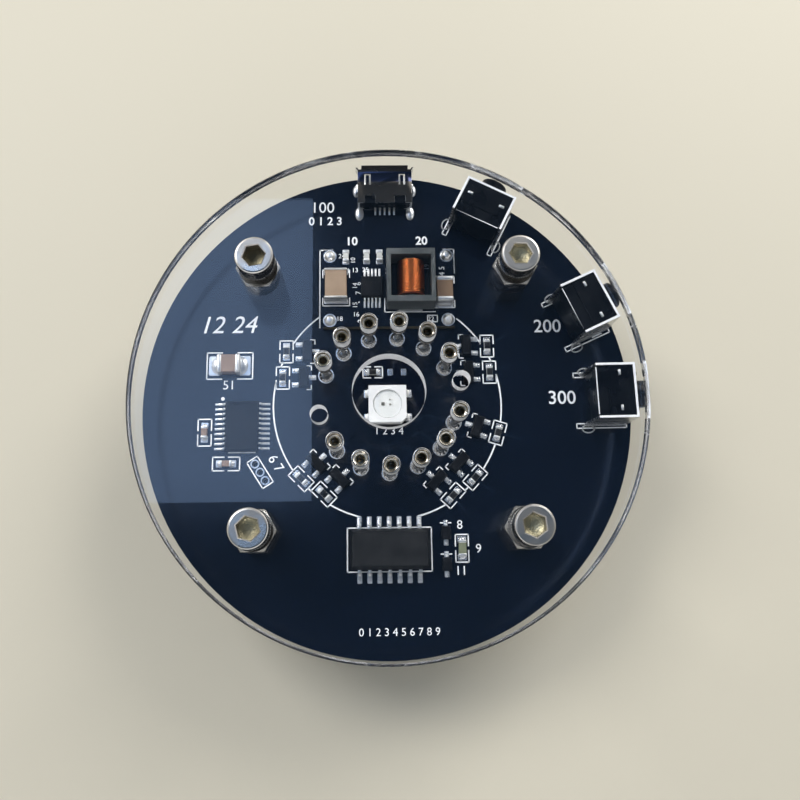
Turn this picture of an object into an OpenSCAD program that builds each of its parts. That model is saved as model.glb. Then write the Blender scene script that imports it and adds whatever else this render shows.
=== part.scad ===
// Base of a single-tube desk clock: a round main board held between two clear
// discs on hexagonal standoffs, with twelve open sockets for the tube's pins.
// The origin is on the axis of the discs, at the height of the surface that the
// four lower screw heads stand on. +Z is up and +Y is the side of the supply inlet.

/* [Discs] */
// Diameter of the round main board
board_d = 64.2; // [62:0.1:74]
// Thickness of the main board
board_t = 1.6; // [1.2:0.1:2.4]
// Diameter of the two clear discs
disc_d = 63.8; // [60:0.1:74]
// Thickness of each clear disc
disc_t = 2.8; // [2.4:0.1:4]
// Bevel along the rims of the clear discs
disc_bevel = 0.2; // [0.1:0.05:0.5]
// Diameter of the opening over the lamp
window_d = 9.08; // [8:0.02:11]

/* [Screws and standoffs] */
// Side of the square on which the four screws stand
screw_square = 32.9; // [32:0.1:36]
// Outer diameter of the thread
screw_d = 3; // [2.6:0.1:3.4]
// Length of thread that passes beyond a clear disc
screw_grip = 3.2; // [2.4:0.1:3.6]
// Diameter of the screw heads
head_d = 4.8; // [4.4:0.1:6.4]
// Height of the screw heads
head_h = 3; // [2.4:0.1:4]
// Width across the flats of the key socket
key_af = 2.5; // [2:0.1:3]
// Depth of the key socket
key_depth = 1.5; // [1:0.1:1.8]
// Width across the flats of the standoffs
standoff_af = 5; // [4.8:0.1:6]
// Height of the standoffs above the main board
upper_h = 8; // [7.7:0.1:12]
// Height of the standoffs below the main board
lower_h = 8; // [7.5:0.1:12]
// Length of the upper standoffs' studs beyond the main board
stud_l = 3.2; // [2.4:0.1:3.6]
// Radial play of a screw or stud in a plain hole
hole_play = 0.15; // [0.1:0.05:0.3]

/* [Tube sockets] */
// Diameter of the circle of sockets
socket_circle = 18; // [17.6:0.1:20]
// Diameter of a socket at its mouth
mouth_d = 2.08; // [1.9:0.02:2.3]
// Diameter of the socket's barrel
barrel_d = 1.84; // [1.8:0.02:1.88]
// Length of a socket from its mouth to the start of its tail
barrel_l = 5.6; // [4.8:0.1:6.4]
// Diameter of the entry bore
entry_d = 1.6; // [1.56:0.02:1.68]
// Diameter of the passage between the contact fingers
grip_d = 0.86; // [0.7:0.02:1]
// Diameter of the solder tail
tail_d = 0.76; // [0.6:0.02:0.9]
// Length of the tail below the main board
tail_out = 1.3; // [0.8:0.1:2]
// Diameter of the solder joint at the board
solder_d = 1.9; // [1.6:0.1:2]

/* [Lamp] */
// Side of the square lamp under the window
lamp_w = 5; // [4.6:0.1:5.4]
// Height of the lamp
lamp_h = 1.6; // [1.3:0.1:2]
// Diameter of the lamp's clear lens
lens_d = 3.7; // [3:0.1:4.2]

/* [Supply inlet] */
// Width of the inlet's shell
inlet_w = 7.4; // [7:0.1:8]
// Length of the inlet's shell
inlet_l = 5.3; // [5:0.1:6]
// Height of the inlet's shell
inlet_h = 2.7; // [2.5:0.1:3]
// Sheet thickness of the inlet's shell
inlet_sheet = 0.25; // [0.2:0.05:0.3]
// How far the inlet stands out past the board's edge
inlet_overhang = 0.6; // [0.5:0.1:0.8]

/* [Push buttons] */
// Width of a switch over its folded bracket
switch_w = 7; // [6.8:0.1:7.6]
// Height of a switch above the board
switch_h = 7; // [6.6:0.1:7.4]
// Sheet thickness of the brackets
bracket_sheet = 0.3; // [0.2:0.05:0.4]
// Length of the bracket's wings along their upper edge
wing_l = 5; // [4.6:0.1:5.6]
// How far a bracket's face stands behind the board's edge
switch_inset = 0.95; // [0.6:0.05:1.5]
// Diameter of the round buttons
button_d = 3.5; // [3:0.1:3.7]
// How far a button stands out of its bracket
button_reach = 1.85; // [1.2:0.05:2.5]
// Travel of a button
button_travel = 0.25; // [0.15:0.05:0.3]

/* [Step-up converter] */
// Width of the converter's own board
converter_w = 17.6; // [17:0.1:19]
// Depth of the converter's own board
converter_l = 10.8; // [10.6:0.1:12]
// Thickness of the converter's own board
converter_t = 1.2; // [0.8:0.1:1.6]
// Width of the inductor
inductor_w = 6.4; // [6:0.1:6.8]
// Depth of the inductor
inductor_l = 7.35; // [7:0.05:7.8]
// Height of the inductor
inductor_h = 4; // [3.6:0.1:4.6]
// Outer diameter of the inductor's winding
winding_d = 3.7; // [3.2:0.1:3.8]
// Length of the winding
winding_l = 4.75; // [4.2:0.05:5]

/* [Chips] */
// Length of the clock chip's moulded body
clock_l = 10.1; // [9:0.1:11]
// Width of the clock chip's moulded body
clock_w = 5; // [4.6:0.1:5.4]
// Height of the clock chip
clock_h = 3.2; // [2.6:0.1:3.6]
// Length of the controller chip's moulded body
controller_l = 6.5; // [6.4:0.1:7]
// Width of the controller chip's moulded body
controller_w = 4.4; // [4:0.1:4.8]
// Height of the controller chip
controller_h = 1; // [0.8:0.1:1.3]

/* [Backup cell] */
// Diameter of the coin cell under the board
cell_d = 12.5; // [11.6:0.1:13]
// Thickness of the coin cell
cell_t = 2; // [1.6:0.1:2.5]

/* [Hidden] */
$fn = 48;

// Heights of the stack, from the surface it stands on
bottom_z = head_h;
lower_z = bottom_z + disc_t;
board_z = lower_z + lower_h;
top_z = board_z + board_t;
cover_z = top_z + upper_h;
rim_z = cover_z + disc_t;

// Play of a thread in its tapped hole, and of a solder tail in a board hole
thread_play = 0.05;
tail_play = 0.1;
head_bevel = 0.3;
standoff_bevel = 0.3;

// The tube's base has fourteen even positions and a wide gap on the -X side.
// Two of the positions carry no pin.
socket_positions = 14;
socket_step = 24.3;
first_angle = 154;
empty_positions = [6, 13];
pin_positions = [for (i = [0 : socket_positions - 1])
    if (i != empty_positions[0] && i != empty_positions[1]) i];
socket_proud = 0.1;
socket_play = 0.05;
socket_h = upper_h + disc_t + socket_proud;
barrel_z = socket_h - barrel_l;
mouth_l = 2.6;
entry_l = 0.7;
entry_lead = 0.25;
contact_wall = 0.09;
contact_ring = 0.7;
finger_l = 1.5;
finger_tip = 0.6;
shell_wall = 0.3;
solder_h = 0.8;

// Lamp
lead_sheet = 0.15;
lamp_lead_w = 0.9;
lamp_lead_y = 1.6;
lamp_lead_out = 0.45;

// Inlet, in its own frame: mouth at y = 0, inside at negative y
inlet_y = board_d / 2 + inlet_overhang;
inlet_lip = 0.45;
inlet_flare = 0.3;
inlet_leg_y = -2.6;
inlet_leg_l = 1.1;
inlet_bevel = 0.9;
inlet_pitch = 0.65;
leg_out = 1;

// Switches, in their own frame: bracket's face at x = 0, inside at negative x
switch_angles = [63, 24.7, 0.6];
switch_x = board_d / 2 - switch_inset;
button_z = switch_h / 2 + 0.1;
switch_body_l = wing_l - bracket_sheet;
switch_body_w = switch_w - 2 * bracket_sheet - 0.1;
leg_w = 1;
leg_x = -wing_l - 0.35;
flange_t = 0.5;
flange_d = button_d + 0.8;
chamber_d = flange_d + 0.3;
chamber_l = 1.9;
button_play = 0.1;
dome_h = 0.5;
dome_t = 0.1;
nub_d = 1;
nub_l = chamber_l - flange_t - dome_h - button_travel - 2 * button_play;
rivet_d = 0.9;
rivet_y = 2.2;
rivet_z = 2.35;
terminal_y = 2.25;
terminal_w = 0.7;
terminal_sheet = 0.3;
terminal_x = -bracket_sheet - 1.75;

// Converter, in its own frame: near left corner of its board at the origin
converter_x = -converter_w / 2 + 0.35;
converter_y = socket_circle / 2 + 1.3;
post_d = 0.9;
post_inset = 0.9;
inductor_x = 8.5;
inductor_y = 2.3;
core_bar = 0.86;
core_leg = 0.55;
core_post_d = 1.8;

// Groups of a transistor and its resistor round the sockets: angle on the board,
// distance outside the circle of sockets, and the way the lone lead points
stages = [[145.5, 3.8, 0], [161.4, 2.6, 0], [36.3, 4.15, 180], [21.3, 2.6, 180],
    [-14.8, 3.1, 163], [-40.3, 3, 137], [-58.2, 2.8, 137], [-140.7, 3, 45], [-123.4, 2.5, 45]];
stage_resistor = 2.82;

// Length along the leads, width and height of the small moulded parts
transistor_size = [1.3, 2.9, 1.05];
transistor_lead_y = 0.95;
diode_size = [1.25, 1.7, 0.9];

// Length, width and height of the small chip parts, and the length of their metal ends
resistor_size = [1.6, 0.82, 0.5];
resistor_end = 0.3;
small_cap_size = [1.6, 0.82, 0.7];
small_cap_end = 0.35;

// Places of the other parts on the board
clock_y = -socket_circle / 2 - 9.65;
clock_pitch = 1.27;
clock_pins = 7;
controller_x = -socket_circle / 2 - 10;
controller_y = -2.73;
controller_pitch = 0.65;
controller_pins = 10;
header_at = [controller_x + 2.4, -8.7];
header_turn = -57.5;
header_pitch = 1.27;
diode_x = clock_l / 2 + 2.15;
diode_ys = [2, -1.9];
cell_inset = 7.05;
cell_y = -board_d / 2 + cell_inset + cell_d / 2;
clip_sheet = 0.3;
clip_w = 7;

// ---------- helpers ----------

module at_screws() {
    for (sx = [-1, 1], sy = [-1, 1])
        translate([sx * screw_square / 2, sy * screw_square / 2, 0]) children();
}

module at_pins(positions) {
    for (i = positions)
        rotate([0, 0, first_angle - i * socket_step]) translate([socket_circle / 2, 0, 0]) children();
}

module at_switch(i) {
    translate([0, 0, top_z]) rotate([0, 0, switch_angles[i]]) translate([switch_x, 0, 0]) children();
}

module at_inlet() {
    translate([0, inlet_y, top_z]) children();
}

module at_converter() {
    translate([converter_x, converter_y, top_z]) children();
}

module at_converter_posts() {
    for (x = [post_inset, converter_w - post_inset], y = [post_inset, converter_l - post_inset])
        translate([x, y, 0]) children();
}

module at_stages() {
    for (s = stages)
        rotate([0, 0, s[0]]) translate([socket_circle / 2 + s[1], 0, top_z])
            rotate([0, 0, s[2] - s[0]]) children();
}

// Clear disc with a fine bevel on both rims
module clear_disc() {
    r = disc_d / 2;
    b = disc_bevel;
    rotate_extrude($fn = 180)
        polygon([[0, 0], [r - b, 0], [r, b], [r, disc_t - b], [r - b, disc_t], [0, disc_t]]);
}

// Socket-head screw, with the underside of its head at z = 0 and its head above
module cap_screw() {
    r = head_d / 2;
    b = head_bevel;
    s = screw_d / 2;
    l = disc_t + screw_grip;
    difference() {
        rotate_extrude()
            polygon([[0, -l], [s - b, -l], [s, b - l], [s, 0], [r, 0], [r, head_h - b],
                [r - b, head_h], [0, head_h]]);
        translate([0, 0, head_h - key_depth])
            cylinder(h = key_depth + 1, d = key_af / cos(30), $fn = 6);
    }
}

// Hexagonal column whose corners are turned off at both ends
module hex_column(h) {
    corner = standoff_af / cos(30) / 2;
    flat = standoff_af / 2;
    intersection() {
        cylinder(h = h, r = corner, $fn = 6);
        rotate_extrude()
            polygon([[0, 0], [flat, 0], [corner, standoff_bevel], [corner, h - standoff_bevel],
                [flat, h], [0, h]]);
    }
}

// Moulded package: widest at the parting line, drafted above and below it
module moulded(w, l, h, lift = 0.1, draft = 0.16) {
    mid = h * 0.5;
    top = h * draft;
    module slab(a, b) {
        rotate([90, 0, 0]) translate([0, 0, -b / 2]) linear_extrude(height = b)
            polygon([[-a / 2 + top, lift], [a / 2 - top, lift], [a / 2, mid - 0.08], [a / 2, mid + 0.08],
                [a / 2 - top, h], [-a / 2 + top, h], [-a / 2, mid + 0.08], [-a / 2, mid - 0.08]]);
    }
    intersection() {
        slab(w, l + 1);
        rotate([0, 0, 90]) slab(l, w + 1);
    }
}

// Lead that leaves a package at x = 0 and height h, bends down and ends in a flat foot
module gull_lead(h, reach, foot, t, w) {
    bend = (reach - foot) * 0.4;
    translate([0, w / 2, 0]) rotate([90, 0, 0]) linear_extrude(height = w)
        polygon([[0, h - t / 2], [bend - t / 2, h - t / 2], [reach - foot - t / 2, 0], [reach, 0],
            [reach, t], [reach - foot + t / 2, t], [bend + t / 2, h + t / 2], [0, h + t / 2]]);
}

// Chip part along x: a block with slightly thicker metal ends
module chip_part(l, w, h, cap) {
    skin = 0.03;
    translate([0, 0, h / 2]) cube([l - cap, w - 2 * skin, h - 2 * skin], center = true);
    for (s = [-1, 1])
        translate([s * (l - cap) / 2, 0, h / 2]) cube([cap, w, h], center = true);
}

// ---------- discs, screws and standoffs ----------

module bottom_disc() {
    color([0.85, 0.9, 0.92, 0.4]) difference() {
        translate([0, 0, bottom_z]) clear_disc();
        at_screws() translate([0, 0, bottom_z - 1])
            cylinder(h = disc_t + 2, d = screw_d + 2 * hole_play);
    }
}

module top_disc() {
    color([0.85, 0.9, 0.92, 0.4]) difference() {
        translate([0, 0, cover_z]) clear_disc();
        translate([0, 0, cover_z - 1]) {
            at_screws() cylinder(h = disc_t + 2, d = screw_d + 2 * hole_play);
            cylinder(h = disc_t + 2, d = window_d, $fn = 96);
            at_pins([0 : socket_positions - 1])
                cylinder(h = disc_t + 2, d = mouth_d + 2 * socket_play);
        }
    }
}

module bottom_screws() {
    color("silver") at_screws() translate([0, 0, bottom_z]) rotate([180, 0, 0]) cap_screw();
}

module top_screws() {
    color("silver") at_screws() translate([0, 0, rim_z]) cap_screw();
}

module lower_standoffs() {
    color("silver") at_screws() translate([0, 0, lower_z]) difference() {
        hex_column(lower_h);
        translate([0, 0, -1]) cylinder(h = lower_h + 2, d = screw_d + 2 * thread_play);
    }
}

module upper_standoffs() {
    bore_l = screw_grip + 0.6;
    stud = board_t + stud_l;
    color("silver") at_screws() translate([0, 0, top_z]) {
        difference() {
            hex_column(upper_h);
            translate([0, 0, upper_h - bore_l])
                cylinder(h = bore_l + 1, d = screw_d + 2 * thread_play);
        }
        rotate_extrude()
            polygon([[0, -stud], [screw_d / 2 - head_bevel, -stud], [screw_d / 2, head_bevel - stud],
                [screw_d / 2, 0.01], [0, 0.01]]);
    }
}

// ---------- main board ----------

module board_slots() {
    for (i = [0 : 2]) at_switch(i) {
        for (s = [-1, 1]) {
            translate([leg_x + leg_w / 2, s * (switch_w - bracket_sheet) / 2, 0])
                cube([leg_w + 2 * tail_play, bracket_sheet + 2 * tail_play, 3 * board_t], center = true);
            translate([terminal_x, s * terminal_y, 0])
                cube([terminal_sheet + 2 * tail_play, terminal_w + 2 * tail_play, 3 * board_t],
                    center = true);
        }
    }
    at_inlet() for (s = [-1, 1])
        translate([s * (inlet_w + inlet_sheet) / 2, inlet_leg_y, 0])
            cube([inlet_sheet + 2 * tail_play, inlet_leg_l + 2 * tail_play, 3 * board_t], center = true);
}

module main_board() {
    color([0.03, 0.05, 0.12]) difference() {
        translate([0, 0, board_z]) cylinder(h = board_t, d = board_d, $fn = 180);
        translate([0, 0, board_z - 1]) {
            at_screws() cylinder(h = board_t + 2, d = screw_d + 2 * hole_play);
            at_pins(pin_positions) cylinder(h = board_t + 2, d = tail_d + 2 * tail_play);
            translate([header_at[0], header_at[1], 0]) rotate([0, 0, header_turn])
                for (i = [-1 : 1]) translate([i * header_pitch, 0, 0])
                    cylinder(h = board_t + 2, d = 0.8);
        }
        at_converter() at_converter_posts() translate([0, 0, -board_t - 1])
            cylinder(h = board_t + 2, d = post_d + 2 * tail_play);
        board_slots();
    }
}

// ---------- tube sockets ----------

// Turned shell: stepped mouth, grooved barrel and solder tail, closed at its foot
module socket_shell() {
    m = mouth_d / 2;
    b = barrel_d / 2;
    e = entry_d / 2;
    c = b - shell_wall;
    t = tail_d / 2;
    tip = -board_t - tail_out;
    groove = 0.08;
    rotate_extrude()
        polygon([[0, tip], [t - 0.1, tip], [t, tip + 0.15], [t, barrel_z - 0.25], [b - 0.3, barrel_z],
            [b, barrel_z + 0.35], [b, barrel_z + 0.9], [b - groove, barrel_z + 1],
            [b - groove, barrel_z + 1.25], [b, barrel_z + 1.35], [b, socket_h - mouth_l - 0.15],
            [m, socket_h - mouth_l], [m, socket_h - 0.12], [m - 0.12, socket_h],
            [e + entry_lead, socket_h], [e, socket_h - entry_lead], [e, socket_h - entry_lead - entry_l],
            [c, socket_h - entry_lead - entry_l - 0.06], [c, barrel_z + 0.6], [0, barrel_z + 0.6]]);
}

module socket_shells() {
    color("gainsboro") at_pins(pin_positions) translate([0, 0, top_z]) socket_shell();
}

// Spring contact: a ring with four fingers that close on the tube's pin
module socket_contact() {
    c = barrel_d / 2 - shell_wall - 0.02;
    w = contact_wall;
    g = grip_d / 2;
    ring_z = socket_h - entry_lead - entry_l - 0.12;
    waist_z = ring_z - contact_ring - finger_l;
    tip_z = waist_z - finger_tip;
    difference() {
        rotate_extrude()
            polygon([[c, ring_z], [c, ring_z - contact_ring], [g + w, waist_z], [g + w + 0.1, tip_z],
                [g + 0.1, tip_z], [g, waist_z], [c - w, ring_z - contact_ring], [c - w, ring_z]]);
        for (a = [0, 90]) rotate([0, 0, a])
            translate([-2, -0.09, tip_z - 1]) cube([4, 0.18, ring_z - tip_z + 0.35]);
    }
}

module socket_contacts() {
    color("goldenrod") at_pins(pin_positions) translate([0, 0, top_z]) socket_contact();
}

// Concave solder fillet round a tail, base at z = 0
module solder_cone(r_tail, d, h) {
    r = d / 2;
    n = 5;
    foot = 0.08;
    flare = [for (i = [1 : n])
        [r - (r - r_tail - 0.06) * sin(90 * i / n), foot + (h - foot) * (1 - cos(90 * i / n))]];
    rotate_extrude() polygon(concat([[r_tail, 0], [r, 0]], flare, [[r_tail, h]]));
}

module socket_solder() {
    color("lightgray") at_pins(pin_positions) {
        translate([0, 0, top_z]) solder_cone(tail_d / 2 + 0.02, solder_d, solder_h);
        translate([0, 0, board_z]) mirror([0, 0, 1]) solder_cone(tail_d / 2 + 0.02, solder_d, solder_h);
    }
}

// ---------- lamp ----------

module lamp_body() {
    w = lamp_w / 2;
    color("white") translate([0, 0, top_z]) difference() {
        linear_extrude(height = lamp_h)
            polygon([[-w, -w], [w - 0.7, -w], [w, 0.7 - w], [w, w], [-w, w]]);
        translate([0, 0, lamp_h - 0.8]) cylinder(h = 1, d = lens_d + 0.04);
    }
}

module lamp_lens() {
    color([0.95, 0.95, 0.85, 0.6]) translate([0, 0, top_z + lamp_h - 0.8])
        cylinder(h = 0.76, d = lens_d);
}

// Four leads folded from the sides of the lamp onto the board
module lamp_leads() {
    color("silver") translate([0, 0, top_z])
        for (sx = [-1, 1], sy = [-1, 1]) scale([sx, sy, 1])
            translate([lamp_w / 2, lamp_lead_y + lamp_lead_w / 2, 0]) rotate([90, 0, 0])
                linear_extrude(height = lamp_lead_w)
                    polygon([[0, 0], [lamp_lead_out, 0], [lamp_lead_out, lead_sheet],
                        [lead_sheet, lead_sheet + 0.1], [lead_sheet, lamp_h * 0.55], [0, lamp_h * 0.55]]);
}

// ---------- supply inlet ----------

// Outline of the shell across the inlet: wide at the top, cut corners at the board
module inlet_outline(inset) {
    w = inlet_w / 2 - inset;
    b = inlet_bevel - inset * 0.4;
    polygon([[-w + b, inset], [w - b, inset], [w, inset + b * 0.8], [w, inlet_h - inset],
        [-w, inlet_h - inset], [-w, inset + b * 0.8]]);
}

module inlet_lips() {
    t = inlet_sheet;
    f = inlet_flare;
    lip = [[0, 0], [inlet_lip, f], [inlet_lip, f + t], [0, t]];
    // upper lip, then lower lip
    translate([-inlet_w / 2 + 0.5, -inlet_lip, inlet_h - t]) rotate([90, 0, 90])
        linear_extrude(height = inlet_w - 1) polygon(lip);
    translate([-inlet_w / 2 + inlet_bevel + 0.1, -inlet_lip, t]) mirror([0, 0, 1]) rotate([90, 0, 90])
        linear_extrude(height = inlet_w - 2 * inlet_bevel - 0.2) polygon(lip);
    for (s = [-1, 1]) scale([s, 1, 1])
        translate([inlet_w / 2 - t, -inlet_lip, inlet_bevel])
            linear_extrude(height = inlet_h - inlet_bevel - 0.35)
                polygon([[0, 0], [t, 0], [t + f, inlet_lip], [f, inlet_lip]]);
}

module inlet_shell() {
    t = inlet_sheet;
    body_l = inlet_l - inlet_lip;
    slot_x = 2.35;
    slot_w = 0.85;
    slot_l = 1.6;
    tongue_w = 0.45;
    color("silver") at_inlet() {
        difference() {
            translate([0, -inlet_lip, 0]) rotate([90, 0, 0]) linear_extrude(height = body_l)
                difference() {
                    inlet_outline(0);
                    inlet_outline(t);
                }
            for (s = [-1, 1]) {
                // latch windows, each with its spring tongue left standing
                difference() {
                    translate([s * slot_x - slot_w / 2, -1.1 - slot_l, inlet_h - 2 * t])
                        cube([slot_w, slot_l, 3 * t]);
                    translate([s * slot_x - tongue_w / 2, -1.3 - slot_l, inlet_h - 3 * t])
                        cube([tongue_w, slot_l, 5 * t]);
                }
                // notches in the rear edge of the roof
                translate([s * 2.05 - 0.75, -inlet_l - 1, inlet_h - 2 * t]) cube([1.5, 2, 3 * t]);
            }
        }
        inlet_lips();
        // legs folded down the sides and through the board
        for (s = [-1, 1])
            translate([s * (inlet_w + t) / 2, inlet_leg_y, 0]) {
                translate([-t / 2, -inlet_leg_l / 2, -board_t - leg_out])
                    cube([t, inlet_leg_l, board_t + leg_out + 1.2]);
            }
    }
}

// Moulded insert: rear block and the tongue that carries the contacts
module inlet_insert() {
    t = inlet_sheet + 0.03;
    block_l = 1.5;
    color([0.12, 0.12, 0.13]) at_inlet() {
        difference() {
            translate([0, -inlet_l + block_l, 0]) rotate([90, 0, 0])
                linear_extrude(height = block_l) inlet_outline(t);
            translate([-1.8, -inlet_l - 1, inlet_sheet - 1])
                cube([3.6, 1.5, 1.55]);
        }
        translate([-1.85, -inlet_l + block_l - 0.01, inlet_h / 2 - 0.05])
            cube([3.7, 2.7, 0.6]);
    }
}

module inlet_contacts() {
    t = 0.12;
    w = 0.25;
    run = 3.7;
    z = inlet_h / 2 - 0.05 - t;
    // blade under the tongue, bent down behind the block and out along the board
    color("gold") at_inlet() for (i = [-2 : 2])
        translate([i * inlet_pitch - w / 2, -inlet_l, 0]) rotate([90, 0, 90])
            linear_extrude(height = w)
                polygon([[1.52, z], [run, z], [run, z + t], [1.52, z + t]]);
    color("silver") at_inlet() for (i = [-2 : 2])
        translate([i * inlet_pitch - w / 2, -inlet_l, 0]) rotate([90, 0, 90])
            linear_extrude(height = w)
                polygon([[0.48, 0.35], [0.48, 0.6], [-0.1, 0.6], [-0.3, t], [-0.8, t], [-0.8, 0], [-0.2, 0],
                    [0, 0.35]]);
}

// ---------- push buttons ----------

// Folded sheet bracket: face plate, two wings and a leg behind each wing
module bracket(i) {
    w = switch_w / 2;
    t = bracket_sheet;
    h = switch_h;
    color("silver") at_switch(i) {
        difference() {
            translate([-t, -w, 0]) cube([t, switch_w, h]);
            translate([1, 0, button_z]) rotate([0, -90, 0])
                cylinder(h = 3, d = button_d + 4 * button_play);
            for (sy = [-1, 1], sz = [-1, 1])
                translate([1, sy * rivet_y, button_z + sz * rivet_z]) rotate([0, -90, 0])
                    cylinder(h = 3, d = rivet_d + 0.1);
        }
        for (s = [-1, 1])
            translate([0, s > 0 ? w : t - w, 0]) rotate([90, 0, 0]) linear_extrude(height = t)
                polygon([[-t, 0], [-t, h], [-wing_l, h], [leg_x - 0.2, h * 0.35], [leg_x - 0.2, 0.6],
                    [leg_x, 0], [leg_x, 0.3 - board_t - leg_out], [leg_x + 0.25, -board_t - leg_out],
                    [leg_x + leg_w - 0.25, -board_t - leg_out], [leg_x + leg_w, 0.3 - board_t - leg_out],
                    [leg_x + leg_w, 0]]);
    }
}

// Moulded cup behind the face plate, with four rivets that hold the plate
module switch_body(i) {
    front = -bracket_sheet;
    lift = 0.3;
    h = switch_h - 0.1 - lift;
    w = switch_body_w;
    color([0.06, 0.06, 0.07]) at_switch(i) {
        difference() {
            union() {
                translate([front - 3.2, -w / 2, lift]) cube([3.2 - 0.02, w, h]);
                translate([front - switch_body_l, -w / 2 + 0.15, lift])
                    cube([switch_body_l - 3.1, w - 0.3, h - 0.12]);
                for (s = [-1, 1]) translate([front - 2, s * (w / 2 - 0.5), 0])
                    cylinder(h = lift + 0.1, d = 0.7);
            }
            translate([1, 0, button_z]) rotate([0, -90, 0])
                cylinder(h = 1 - front + chamber_l, d = chamber_d);
            for (sy = [-1, 1])
                translate([terminal_x - terminal_sheet / 2 - 0.02, sy * terminal_y - terminal_w / 2 - 0.02, -1])
                    cube([terminal_sheet + 0.04, terminal_w + 0.04, lift + 1.4]);
            for (sy = [-1, 1])
                translate([terminal_x - terminal_sheet / 2 - 0.02, sy * terminal_y - terminal_w / 2 - 0.02,
                    lift + h - 0.4])
                    cube([terminal_sheet + 0.04, terminal_w + 0.04, 1]);
        }
        for (sy = [-1, 1], sz = [-1, 1])
            translate([front - 0.05, sy * rivet_y, button_z + sz * rivet_z]) rotate([0, 90, 0])
                rotate_extrude()
                    polygon([[0, 0], [rivet_d / 2, 0], [rivet_d / 2, bracket_sheet + 0.2],
                        [rivet_d / 2 - 0.12, bracket_sheet + 0.32], [0, bracket_sheet + 0.32]]);
    }
}

// Round button with the flange that the face plate holds back
module button(i) {
    r = button_d / 2;
    back = -bracket_sheet - button_play;
    color([0.08, 0.08, 0.09]) at_switch(i) translate([0, 0, button_z]) rotate([0, 90, 0])
        rotate_extrude()
            polygon([[0, back - flange_t - nub_l], [nub_d / 2, back - flange_t - nub_l],
                [nub_d / 2, back - flange_t], [flange_d / 2, back - flange_t], [flange_d / 2, back],
                [r, back], [r, button_reach - 0.2], [r - 0.2, button_reach], [0, button_reach]]);
}

module switch_terminals() {
    color("silver") for (i = [0 : 2]) at_switch(i) for (s = [-1, 1])
        translate([terminal_x - terminal_sheet / 2, s * terminal_y - terminal_w / 2, 0]) {
            translate([0, 0, -board_t - leg_out])
                cube([terminal_sheet, terminal_w, board_t + leg_out + 0.65]);
            translate([0, 0, switch_h - 0.45]) cube([terminal_sheet, terminal_w, 0.5]);
        }
}

// Snap domes at the back of each cup, under the button's nub
module switch_domes() {
    n = 4;
    r = chamber_d / 2 - 0.15;
    rise = dome_h - dome_t;
    under = [for (k = [0 : n]) [r * sin(90 * k / n), rise * cos(90 * k / n)]];
    over = [for (k = [n : -1 : 0]) [under[k][0], under[k][1] + dome_t]];
    color("silver") for (i = [0 : 2]) at_switch(i)
        translate([-bracket_sheet - chamber_l, 0, button_z]) rotate([0, 90, 0])
            rotate_extrude() polygon(concat(under, over));
}

// ---------- step-up converter ----------

module converter_board() {
    color([0.05, 0.06, 0.12]) at_converter() difference() {
        cube([converter_w, converter_l, converter_t]);
        at_converter_posts() translate([0, 0, -1])
            cylinder(h = converter_t + 2, d = post_d + 2 * tail_play);
    }
}

module converter_pins() {
    r = post_d / 2;
    foot = converter_t + 0.02;
    color("silver") at_converter() at_converter_posts()
        rotate_extrude()
            polygon([[0, -board_t - leg_out], [r, -board_t - leg_out], [r, foot], [r + 0.35, foot],
                [r + 0.1, converter_t + 0.45], [r - 0.1, converter_t + 0.6], [0, converter_t + 0.6]]);
}

// Flat ferrite frame with a round post across its window
module inductor_core() {
    color([0.2, 0.22, 0.22]) at_converter() translate([inductor_x, inductor_y, converter_t]) {
        difference() {
            cube([inductor_w, inductor_l, inductor_h]);
            translate([core_leg, core_bar, -1])
                cube([inductor_w - 2 * core_leg, inductor_l - 2 * core_bar, inductor_h + 2]);
        }
        translate([inductor_w / 2, core_bar - 0.01, inductor_h / 2]) rotate([-90, 0, 0])
            cylinder(h = inductor_l - 2 * core_bar + 0.02, d = core_post_d);
    }
}

module inductor_winding() {
    r = winding_d / 2;
    b = 0.15;
    color([0.75, 0.38, 0.15]) at_converter()
        translate([inductor_x + inductor_w / 2, inductor_y + inductor_l / 2, converter_t + inductor_h / 2])
            rotate([-90, 0, 0]) translate([0, 0, -winding_l / 2]) rotate_extrude()
                polygon([[core_post_d / 2 + 0.03, 0], [r - b, 0], [r, b], [r, winding_l - b],
                    [r - b, winding_l], [core_post_d / 2 + 0.03, winding_l]]);
}

module output_capacitor() {
    color([0.7, 0.62, 0.53]) at_converter() translate([1.75, 5.45, converter_t])
        rotate([0, 0, 90]) chip_part(4.15, 3.1, 2.4, 0.35);
}

module input_capacitor() {
    color([0.5, 0.4, 0.3]) at_converter() translate([16.25, 4.75, converter_t])
        rotate([0, 0, 90]) chip_part(3.5, 2.3, 1.9, 0.7);
}

module converter_chip() {
    color([0.07, 0.07, 0.08]) at_converter() translate([6.6, 5.35, converter_t]) moulded(3, 3, 1);
}

module converter_chip_leads() {
    color("silver") at_converter() translate([6.6, 5.35, converter_t])
        for (s = [-1, 1], i = [-2 : 2])
            rotate([0, 0, s * 90]) translate([1.5, i * 0.5, 0]) gull_lead(0.5, 0.95, 0.5, 0.13, 0.22);
}

// Two chip capacitors and a chip resistor along the converter's far edge
module converter_small_parts() {
    color([0.7, 0.65, 0.6]) at_converter() for (x = [3.07, 5.87, 7.6])
        translate([x, converter_l - 1, converter_t]) rotate([0, 0, 90]) chip_part(1.5, 0.8, 0.7, 0.35);
}

// ---------- other parts on the board ----------

module controller_chip() {
    color([0.1, 0.1, 0.11]) translate([controller_x, controller_y, top_z])
        moulded(controller_w, controller_l, controller_h);
}

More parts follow.
